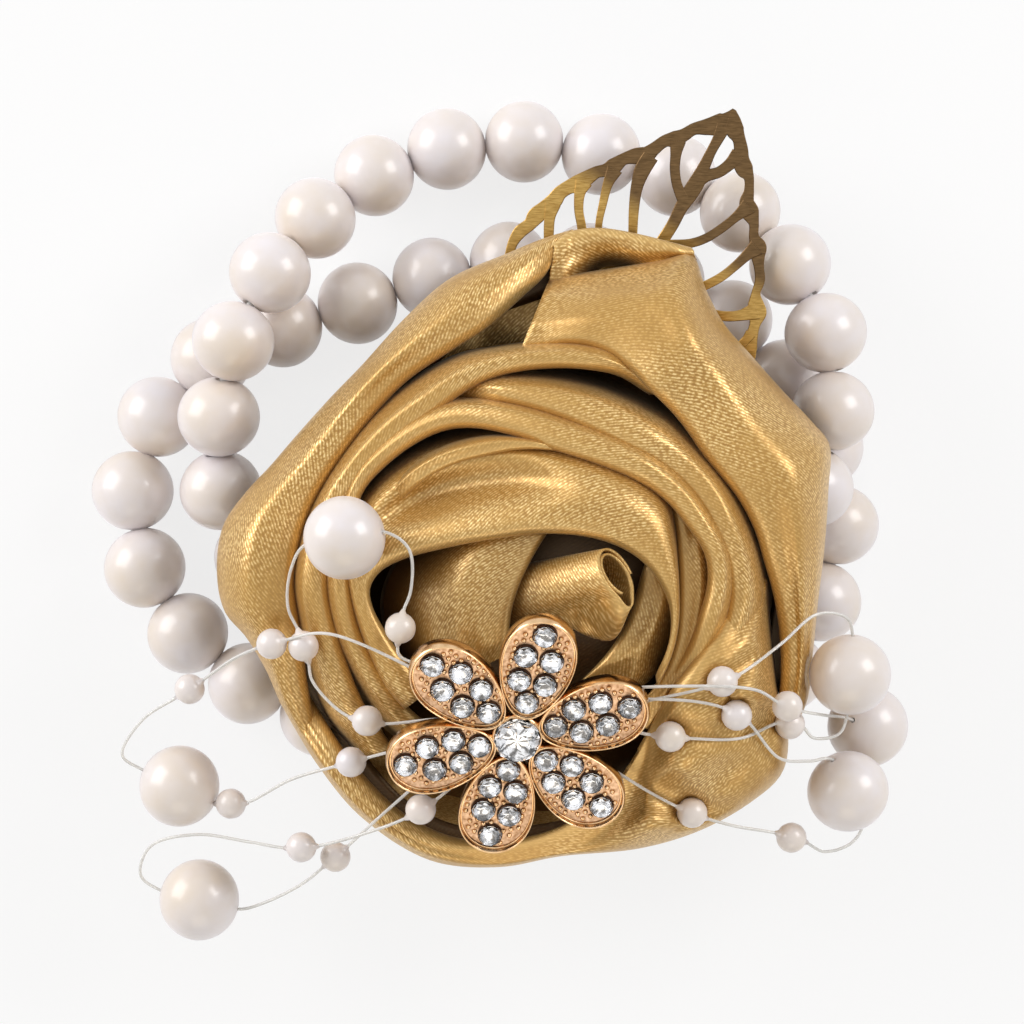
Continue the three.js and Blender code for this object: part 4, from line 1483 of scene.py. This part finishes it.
@dataclass
class Spray:
    """Sprays of pearls and small beads on clear nylon line, out of the glue behind the flower."""

    finishes: Finishes
    pearl: BoredPearl = BoredPearl(7.8 * MM, 7.6 * MM, 0.45 * MM, 0.12 * MM)
    line_diameter: float = 0.3 * MM
    line_samples: int = 14
    line_sides: int = 12
    bead_diameter: float = 2.9 * MM
    bead_tip: float = 0.4 * MM
    bead_end: float = 1.3
    bead_rows: int = 14
    bead_sides: int = 18
    root_reach: float = 7.3 * MM
    hold_reach: float = 4.4 * MM
    root_depth: float = 2.0 * MM

    def root(self, degrees: float, reach: float) -> Array:
        """Place of a line behind the flower: on a tilted circle of a given reach.

        Args:
            degrees: Angle round the flower.
            reach: Radius of the circle.

        Returns:
            The point.
        """
        angle = math.radians(degrees)
        across, up = reach * math.cos(angle), reach * math.sin(angle)
        cos, sin = math.cos(FLOWER_TILT), math.sin(FLOWER_TILT)
        turned = (across, up * cos + self.root_depth * sin, up * sin - self.root_depth * cos)
        return np.array(FLOWER_SEAT) + turned

    def bead(self) -> Surface:
        """Small bead about Z: a ball with a short pointed collar of glue at each end.

        Returns:
            The closed surface.
        """
        radius = self.bead_diameter / 2
        angle = np.linspace(-self.bead_end, self.bead_end, self.bead_rows)
        ball = radius * np.column_stack([np.cos(angle), np.sin(angle)])
        top = radius + self.bead_tip
        tips = np.array([[self.line_diameter / 2, top], [0, top]])
        return lathe(np.vstack([tips[::-1] * [1, -1], ball, tips]), self.bead_sides, closed=False)

    def build_line(self, route: SprayRoute) -> None:
        """It is a smooth curve through its points, and runs straight through each pearl and bead.

        Args:
            route: The line's way.
        """
        name, places, kinds = route.name(), route.places(), route.kinds()
        spot, count = kinds.index(PEARL), self.line_samples
        reaches = (self.hold_reach, self.root_reach)
        out = [self.root(route.out, reach) for reach in reaches]
        back = [self.root(route.back, reach) for reach in reaches[::-1]] if route.back else []
        beyond = back[0] if back else 2 * places[-1] - places[-2]
        chain = smooth_line(np.vstack([out[-1], places, beyond]), count)
        slopes = unit(np.gradient(chain, axis=0)[count:count * len(places) + 1:count])
        halves = {PEARL: self.pearl.length / 2, BEAD: self.bead_diameter / 2}
        passes = [np.array([place - slope * halves[kind], place + slope * halves[kind]]) if kind
                  else place for place, slope, kind in zip(places, slopes, kinds)]
        line = smooth_line(np.vstack([*out, *passes, *back]), count)
        strand = add_piece(f"{name}_nylon", tube(line, self.line_diameter / 2, self.line_sides),
                           self.finishes.nylon)
        pearl = placed(self.pearl.surface(), places[spot], axes_along(slopes[spot]))
        ball = add_piece(f"{name}_ball", pearl, self.finishes.pearl)
        beads = [placed(self.bead(), place, axes_along(slope))
                 for place, slope, kind in zip(places, slopes, kinds) if kind is BEAD]
        small = add_piece(f"{name}_beads", joined(beads), self.finishes.pearl)
        for piece, slot in ((strand, "nylon"), (ball, "pearl"), (small, "pearl")):
            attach(piece, route.body())
        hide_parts(f"{name}_line")
        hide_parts(f"{name}_pearl")

    def build(self) -> None:
        """Makes every line of both sprays."""
        for route in SPRAY_ROUTES:
            self.build_line(route)


StripLine = tuple[tuple[float, float, float], ...]
# Ribs of the leaf, as pixels of their middle lines and widths in pixels: the left rim, the
# right rim and the midrib, then the veins.
LEAF_STRIPS: tuple[StripLine, ...] = (
    ((506, 280, 8), (509, 258, 9), (513, 243, 10), (520, 232, 13), (530, 224, 13),
     (536, 216, 17), (545, 208, 15), (554, 201, 16), (560, 193, 14), (569, 187, 14),
     (577, 184, 17), (587, 178, 15), (597, 172, 12), (606, 170, 13), (614, 166, 16),
     (624, 159, 12), (636, 156, 16), (646, 155, 17), (654, 149, 13), (665, 141, 12),
     (675, 139, 16), (684, 135, 13), (694, 129, 12), (706, 127, 16), (717, 125, 20),
     (726, 121, 19), (731, 115, 11), (734, 109, 3)),
    ((734, 110, 4), (734, 119, 13), (735, 130, 18), (739, 139, 13), (741, 149, 14),
     (741, 160, 17), (745, 170, 17), (749, 178, 10), (749, 191, 10), (747, 202, 15),
     (750, 212, 18), (754, 224, 10), (754, 236, 10), (758, 247, 17), (758, 256, 14),
     (759, 267, 10), (760, 280, 10), (756, 293, 9), (756, 304, 16), (757, 313, 19),
     (755, 324, 11), (752, 335, 12), (749, 348, 16), (749, 361, 11), (741, 380, 11)),
    ((613, 313, 13), (643, 271, 13), (661, 243, 12), (673, 224, 12), (681, 208, 13),
     (689, 195, 16), (697, 182, 16), (704, 167, 12), (711, 152, 10), (718, 139, 11),
     (724, 126, 15)),
    ((695, 184, 13), (706, 176, 12), (719, 172, 11), (730, 164, 12), (739, 154, 16)),
    ((683, 199, 12), (677, 184, 10), (675, 169, 10), (676, 154, 11), (678, 141, 16)),
    ((632, 261, 9), (633, 232, 9), (634, 210, 10), (637, 187, 12), (643, 169, 16),
     (651, 156, 16)),
    ((598, 261, 7), (599, 224, 7), (603, 204, 8), (608, 184, 10), (615, 169, 16)),
    ((584, 261, 9), (582, 228, 9), (579, 210, 9), (580, 193, 11), (584, 182, 17)),
    ((549, 261, 9), (549, 232, 10), (550, 217, 11), (553, 204, 16)),
    ((654, 243, 7), (673, 244, 9), (691, 243, 9), (706, 238, 9), (722, 228, 9),
     (737, 216, 10), (749, 206, 17)),
    ((680, 297, 8), (702, 287, 9), (721, 277, 9), (735, 266, 9), (747, 255, 11),
     (757, 247, 17)),
    ((698, 308, 8), (711, 313, 9), (726, 316, 10), (741, 315, 11), (757, 310, 18)),
    ((724, 358, 11), (737, 348, 9), (745, 341, 9), (751, 333, 11)),
)


@dataclass
class BrassLeaf:
    """Thin stamped leaf: a scalloped rim, a midrib and side veins in one sheet."""

    finishes: Finishes
    base: tuple = (-6 * MM, 12 * MM, 9.3 * MM)
    heading: float = math.radians(57)
    tilt: float = math.radians(7)
    thickness: float = 0.4 * MM
    corner: float = 0.08 * MM
    flat_share: float = 0.3
    layer_step: float = 0.012 * MM
    samples: int = 6

    def level(self, x: Array, y: Array) -> Array:
        """Height of the leaf's plane: its base's, and more by the tilt's tangent along its heading.

        Args:
            x: Places across.
            y: Places up the picture.

        Returns:
            Heights.
        """
        dx, dy = x - self.base[0], y - self.base[1]
        along = dx * math.cos(self.heading) + dy * math.sin(self.heading)
        return self.base[2] + along * math.tan(self.tilt)

    def strip(self, points: StripLine, lift: float) -> Surface:
        """One rib: a flat bar with bevelled edges carried along its line.

        Args:
            points: Pixels of its middle line and its widths there.
            lift: Height that keeps its top apart from its neighbours' tops.

        Returns:
            The closed surface.
        """
        route = smooth_line(np.array(points, float), self.samples)
        line = VIEW.onto(route[:, :2], self.base[2], self.level)
        normal = np.array([-math.sin(self.tilt) * math.cos(self.heading),
                           -math.sin(self.tilt) * math.sin(self.heading), math.cos(self.tilt)])
        sideways = np.cross(normal, unit(np.gradient(line, axis=0)))
        half = route[:, 2:] / VIEW.pixels_per_metre / 2
        c, t = self.corner, self.thickness
        inner = np.maximum(half - c, self.flat_share * half)
        across = np.hstack([-inner, inner, half, half, inner, -inner, -half, -half])
        up = np.array([t, t, t - c, c, 0, 0, c, t - c]) + lift
        return capped(line[:, None] + sideways[:, None] * across[:, :, None] + normal * up[:, None])

    def build(self) -> None:
        """Makes the leaf in its node's place."""
        strips = [self.strip(points, k * self.layer_step) for k, points in enumerate(LEAF_STRIPS)]
        piece = add_piece("leaf_filigree", joined(strips), self.finishes.brass, Shading.FACETED)
        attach(piece, "flower")
        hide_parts("brass_leaf")


# Stations of a petal: share of its outline, and height in millimetres.
PETAL_BED = np.array([
    [0, 0.5], [0.5, 0.5], [0.88, 0.54], [0.93, 0.6], [0.93, 0.1], [0.5, 0.1], [0, 0.1]])
PETAL_RIM = np.array([
    [0, 0.35], [0.89, 0.35], [0.9, 0.66], [0.91, 0.8], [0.92, 0.66], [0.93, 0.7], [0.945, 1.08],
    [0.96, 1.2], [0.975, 1.18], [0.985, 0.95], [1.0, 0.8], [1.0, -0.4], [0.97, -0.6], [0.5, -0.6],
    [0, -0.6]])
# Rings of a cut stone: shares of its radius, of its height and of half a facet's turn.
STONE_RINGS = np.array([
    [0, 1, 0], [0.56, 1, 0], [0.82, 0.72, 1], [1, 0.32, 0], [1, 0.2, 0], [0.9, 0, 0], [0, 0, 0]])
# A stone's foil and its ring of painted shadow: shares of the stone's radius, and of the foil's
# height or millimetres.
FOIL_PROFILE = np.array([[0, 0], [0.52, 0.1], [0.98, 0.42], [0.98, -0.05], [0, -0.05]])
SHADOW_RING_PROFILE = np.array([[0.96, 0], [0.98, 0.2], [1.02, 0.25], [1.06, 0.16], [1.07, 0]])
# The hub's radii and heights in millimetres.
HUB_PROFILE = np.array([
    [0, 0.9], [2.16, 0.9], [2.2, 1.12], [2.27, 1.12], [2.4, 0.7], [2.8, -0.5], [2.4, -0.6], [0, -0.6]])
# The dab of glue: share of its reach, and height in millimetres.
DAB_PROFILE = np.array([
    [0, -0.9], [0.9, -0.9], [0.98, -1.4], [1, -2], [0.97, -2.7], [0.86, -3.1], [0, -3.1]])


@dataclass
class StoneFlower:
    """Metal flower with stones set in six petals and a large one in the middle."""

    finishes: Finishes
    centre: tuple = (-0.3 * MM, -6.2 * MM, 30.25 * MM)
    tilt: float = FLOWER_TILT
    petals: int = 6
    first_angle: float = math.radians(16.4)
    radius: float = 12.7 * MM
    root: float = 2.0 * MM
    half_width: float = 3.5 * MM
    egg: float = 0.2
    petal_sides: int = 72
    hub_sides: int = 40
    stone: float = 2.2 * MM
    stone_height: float = 0.8 * MM
    stone_lift: float = 0.12 * MM
    stone_places: tuple = ((0.16, 0), (0.36, 1), (0.36, -1), (0.6, 1), (0.6, -1), (0.83, 0))
    row_offset: float = 1.24 * MM
    facets: int = 8
    foil_height: float = 0.6 * MM
    seat_level: float = 0.6 * MM
    shadow_ring_sink: float = 0.05 * MM
    seat_sides: int = 24
    big_stone: float = 4.4 * MM
    big_stone_height: float = 1.6 * MM
    big_stone_level: float = 1.15 * MM
    big_foil_level: float = 1 * MM
    grain: float = 0.26 * MM
    grain_step: float = 0.66 * MM
    grain_level: float = 0.56 * MM
    grain_field: float = 0.87
    grain_overlap: float = 0.3
    grain_rows: int = 5
    grain_sides: int = 8

    def turn(self, angle: float) -> Array:
        """Rotation of a petal's own axes by its angle and then by the flower's tilt.

        Args:
            angle: The petal's angle.

        Returns:
            The rotation matrix.
        """
        c, s = math.cos(angle), math.sin(angle)
        tc, ts = math.cos(self.tilt), math.sin(self.tilt)
        flat = np.array([[c, -s, 0], [s, c, 0], [0, 0, 1]])
        return np.array([[1, 0, 0], [0, tc, -ts], [0, ts, tc]]) @ flat

    def oval(self) -> tuple[float, float]:
        """Middle and half length of a petal, along its own axis."""
        return (self.root + self.radius) / 2, (self.radius - self.root) / 2

    def petal(self, stations: Array) -> Surface:
        """A petal's surface: an egg-shaped ring at each station, from its middle outwards.

        Args:
            stations: Share of the outline and height in millimetres of each ring.

        Returns:
            The surface in the petal's own axes.
        """
        angle = full_turn(self.petal_sides)
        share, height = stations.T
        middle, half_length = self.oval()
        x = middle + half_length * share * np.cos(angle)
        y = self.half_width * (1 + self.egg * np.cos(angle)) * share * np.sin(angle)
        grid = np.stack([x, y, np.broadcast_to(height * MM, x.shape)], axis=-1)
        return grid_surface(grid, round_rows=True)

    def stone_spots(self) -> Array:
        """Places of a petal's stones on its bed.

        Returns:
            Places along and across the petal, one row each.
        """
        along, row = np.array(self.stone_places, float).T
        return np.column_stack(
            [self.root + along * (self.radius - self.root), row * self.row_offset])

    def grains(self) -> Surface:
        """Small balls on a petal's bed, on a close grid and clear of the stones and the rim.

        Returns:
            The surface in the petal's own axes.
        """
        step = self.grain_step
        gx, gy = np.meshgrid(np.arange(self.root, self.radius, step),
                             np.arange(-self.half_width, self.half_width, step))
        gx = gx + step / 2 * (np.arange(len(gx)) % 2)[:, None]
        spots = np.column_stack([gx.ravel(), gy.ravel()])
        middle, half = self.oval()
        out = np.hypot((spots[:, 0] - middle) / half, spots[:, 1] / self.half_width)
        apart = np.linalg.norm(spots[:, None] - self.stone_spots()[None], axis=2).min(axis=1)
        clear = apart > self.stone / 2 + self.grain_overlap * self.grain
        angle = np.linspace(-np.pi / 2, np.pi / 2, self.grain_rows)
        ball = lathe(self.grain * np.column_stack([np.cos(angle), np.sin(angle)]),
                     self.grain_sides, closed=False)
        return joined([placed(ball, np.array([x, y, self.grain_level]))
                       for x, y in spots[(out < self.grain_field) & clear]])

    def cut_stone(self, diameter: float, height: float) -> Surface:
        """Brilliant: a flat table, a ring of crown facets, a girdle and a closed back.

        Args:
            diameter: Its width.
            height: Its height.

        Returns:
            The closed surface about the origin.
        """
        radius, level, shift = STONE_RINGS.T
        angle = full_turn(self.facets) + shift * np.pi / self.facets
        return grid_surface(ring_grid(radius * diameter / 2, angle, level * height), round_rows=True)

    def foil(self, diameter: float) -> Surface:
        """Mirror cup under a stone: a shallow faceted cone."""
        return lathe(FOIL_PROFILE * [diameter / 2, self.foil_height], self.seat_sides, closed=False)

    def seat(self, diameter: float) -> Surface:
        """Painted shadow round a stone: a dark low band with a rounded top."""
        return lathe(SHADOW_RING_PROFILE * [diameter / 2, 1 * MM], self.seat_sides, closed=True)

    def at_stones(self, part: Surface, lift: float) -> Surface:
        """A part set at each stone of a petal, at a height over its seat."""
        return joined([placed(part, np.array([x, y, self.seat_level + lift]))
                       for x, y in self.stone_spots()])

    def round_flower(self, part: Surface) -> Surface:
        """One petal's part set at every petal."""
        angles = (self.first_angle + 2 * math.pi * k / self.petals for k in range(self.petals))
        return joined([placed(part, np.array(self.centre), self.turn(angle)) for angle in angles])

    def in_middle(self, part: Surface, level: float = 0) -> Surface:
        """A part set on the flower's own axis, at a level along it."""
        turn = self.turn(0)
        return placed(part, np.array(self.centre) + turn @ [0, 0, level], turn)

    def build(self) -> None:
        """Makes the metal, the foils and the stones in the flower's place."""
        hub = lathe(HUB_PROFILE * MM, self.hub_sides, closed=False)
        frame = self.round_flower(joined([self.petal(PETAL_RIM), self.grains()]))
        beds = self.round_flower(self.petal(PETAL_BED))
        # Painted shadow: a dark ring round each stone.
        shadow_rings = self.round_flower(self.at_stones(self.seat(self.stone), -self.shadow_ring_sink))
        # The foils carry painted reflections.
        foils = self.round_flower(self.at_stones(self.foil(self.stone), 0))
        stone = self.cut_stone(self.stone, self.stone_height)
        stones = self.round_flower(self.at_stones(stone, self.stone_lift))
        big_foil = self.in_middle(self.foil(self.big_stone), self.big_foil_level)
        big_stone = self.in_middle(
            self.cut_stone(self.big_stone, self.big_stone_height), self.big_stone_level)
        metal = joined([frame, self.in_middle(hub)])
        look, smooth, faceted = self.finishes, Shading.SMOOTH, Shading.FACETED
        pieces = (
            ("flower_metal", metal, look.rose_gold, smooth, "rose_gold", "flower_setting"),
            ("flower_beds", beds, look.copper_bed, smooth, "rose_gold", None),
            ("flower_shadow_rings", shadow_rings, look.painted_shadow_ring, smooth, "rose_gold", None),
            ("flower_foils", foils, look.foil, faceted, "rose_gold", None),
            ("flower_stones", stones, look.stone, faceted, "stone", None),
            ("middle_foil", big_foil, look.star_foil_painted_rays, faceted, "rose_gold", None),
            ("middle_stone", big_stone, look.stone, faceted, "stone", "centre_stone"),
        )
        for name, surface, finish, shading, slot, node in pieces:
            piece = add_piece(name, surface, finish, shading)
            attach(piece, "flower")
            if node:
                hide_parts(node)


@dataclass
class Backing:
    """Felt patch, the glue over it and the dab of glue behind the stone-set flower."""

    finishes: Finishes
    sides: int = 96
    edge: float = 0.35 * MM
    edge_rows: int = 5
    inner_share: float = 0.5
    felt_lump: float = 0.1 * MM
    glue_lump: float = 0.35 * MM
    lump_waves: tuple = (5, 3)
    dab_reach: float = 6.0 * MM
    dab_lobe: float = 1.4 * MM

    def disc(self, node: str, lump: float) -> Surface:
        """Round pad filling a node's box, with rounded edges and a slightly lumpy side.

        The edges are quarter circles, and a product of two waves draws the side in.

        Args:
            node: Node whose box it fills.
            lump: Most that its side is drawn in.

        Returns:
            The closed surface.
        """
        low, high = (np.array(corner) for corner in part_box(node))
        middle, radius, thick = (low + high) / 2, (high[0] - low[0]) / 2, high[2] - low[2]
        angle, inner = full_turn(self.sides), -self.inner_share * radius
        quarter = np.linspace(0, np.pi / 2, self.edge_rows)
        round_r, round_z = self.edge * (np.sin(quarter) - 1), self.edge * (1 - np.cos(quarter))
        r = np.concatenate([[-radius, inner], round_r, round_r[::-1], [inner, -radius]])
        z = np.concatenate([[0, 0], round_z, thick - round_z[::-1], [thick, thick]])
        first, second = self.lump_waves
        wave = lump * (1 + np.sin(first * angle) * np.cos(second * angle)) / 2
        radii = np.clip(radius + r - wave * (r > inner), 0, None)
        return grid_surface(ring_grid(radii, angle, low[2] + z, middle), round_rows=True)

    def dab(self) -> Surface:
        """Tilted dab behind the flower: a flattened round that a cosine draws in between the petals.

        Returns:
            The closed surface.
        """
        flower, angle = StoneFlower(self.finishes), full_turn(self.sides)
        share, height = DAB_PROFILE.T
        reach = self.dab_reach + self.dab_lobe * np.cos(flower.petals * (angle - flower.first_angle))
        return flower.in_middle(
            grid_surface(ring_grid(reach * share, angle, height * MM), round_rows=True))

    def build(self) -> None:
        """Makes the felt and both glues."""
        felt = self.disc("felt_backing", self.felt_lump)
        glue = self.disc("glue_pad", self.glue_lump)
        parts = (
            ("felt_patch", felt, self.finishes.felt, "felt_backing", "felt"),
            ("glue_bed", glue, self.finishes.glue, "glue_pad", "hot_melt"),
            ("glue_dab", self.dab(), self.finishes.glue, "flower_glue", "hot_melt"),
        )
        for name, surface, finish, node, slot in parts:
            piece = add_piece(name, surface, finish)
            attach(piece, "flower")
            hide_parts(node)


@dataclass(frozen=True)
class Lamp:
    """A square soft lamp."""

    name: str
    place: tuple
    size: float
    power: float
    colour: Colour

    def build(self, aim: tuple) -> None:
        """Makes the lamp and turns it to a point.

        Args:
            aim: The point.
        """
        data = bpy.data.lights.new(self.name, "AREA")
        data.size, data.energy, data.color = self.size, self.power, self.colour
        lamp = bpy.data.objects.new(self.name, data)
        lamp.location = self.place
        lamp.rotation_euler = (Vector(aim) - lamp.location).to_track_quat("-Z", "Y").to_euler()
        bpy.context.scene.collection.objects.link(lamp)


@dataclass
class Studio:
    """Pale floor, soft lamps and a plain world."""

    floor_half: float = 3.0
    floor_level: float = -0.3 * MM
    floor_white: float = 0.9
    floor_roughness: float = 0.9
    glow: float = 0.78
    world_light: float = 0.46
    aim: tuple = (0, 0.01, 0.015)
    lamps: tuple[Lamp, ...] = (
        Lamp("left_softbox", (-0.60, 0.30, 0.27), 0.52, 3.6, (1, 0.985, 0.99)),
        Lamp("right_softbox", (0.50, 0.29, 0.38), 0.34, 2.1, (1, 0.985, 0.99)),
        Lamp("low_fill", (0.0, -0.55, 0.30), 0.4, 0.6, (1, 0.86, 0.66)),
    )

    def seen_directly(self, nodes: Nodes) -> Socket:
        """Output that is 1 for camera, glossy and transmission rays.

        Args:
            nodes: Node tree to add it to.

        Returns:
            The output.
        """
        rays = nodes.add("ShaderNodeLightPath").outputs
        most = nodes.math("MAXIMUM", rays["Is Camera Ray"], rays["Is Glossy Ray"])
        return nodes.math("MAXIMUM", most, rays["Is Transmission Ray"])

    def floor(self) -> None:
        """White floor that keeps the object's shadow and glows a little where it is seen."""
        nodes = Nodes("pale_floor")
        nodes.shade(Base_Color=(self.floor_white,) * 3 + (1,), Roughness=self.floor_roughness)
        share = nodes.math("MULTIPLY", self.seen_directly(nodes), self.glow)
        light = nodes.add("ShaderNodeEmission", Strength=1)
        mix = nodes.add("ShaderNodeMixShader", Fac=share)
        nodes.fill(mix.inputs[1], nodes.shader.outputs["BSDF"])
        nodes.fill(mix.inputs[2], light.outputs["Emission"])
        nodes.fill(nodes.tree.nodes["Material Output"].inputs["Surface"], mix.outputs["Shader"])
        span = np.array([-self.floor_half, self.floor_half])
        x, y = np.meshgrid(span, span, indexing="ij")
        grid = np.stack([x, y, np.full_like(x, self.floor_level)], axis=-1)
        add_piece("studio_floor", grid_surface(grid), nodes.material, closed=False)

    def world(self) -> None:
        """Plain white surroundings, dimmer as light than they look or mirror."""
        world = bpy.data.worlds.new("studio_world")
        world.use_nodes = True
        nodes = Nodes(world.node_tree)
        back = nodes.tree.nodes["Background"]
        level = nodes.math("MULTIPLY_ADD", self.seen_directly(nodes), 1 - self.world_light,
                           self.world_light)
        nodes.fill(back.inputs["Strength"], level)
        nodes.fill(back.inputs["Color"], (1, 1, 1, 1))
        bpy.context.scene.world = world

    def build(self) -> None:
        """Sets the floor, the world and the lamps."""
        self.floor()
        self.world()
        for lamp in self.lamps:
            lamp.build(self.aim)
        bpy.context.scene.view_settings.view_transform = "Standard"


def main() -> None:
    """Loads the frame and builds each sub-assembly."""
    logging.basicConfig()
    LOG.setLevel(logging.INFO)
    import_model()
    VIEW.make_camera()
    finishes = Finishes()
    Spray(finishes).build()
    PearlStrand(Side.UPPER, finishes, count=19, length=7.58 * MM).build()
    PearlStrand(Side.LOWER, finishes, count=20, length=7.66 * MM).build()
    SatinRose(finishes).build()
    BrassLeaf(finishes).build()
    StoneFlower(finishes).build()
    Backing(finishes).build()
    Studio().build()


if __name__ == "__main__":
    main()
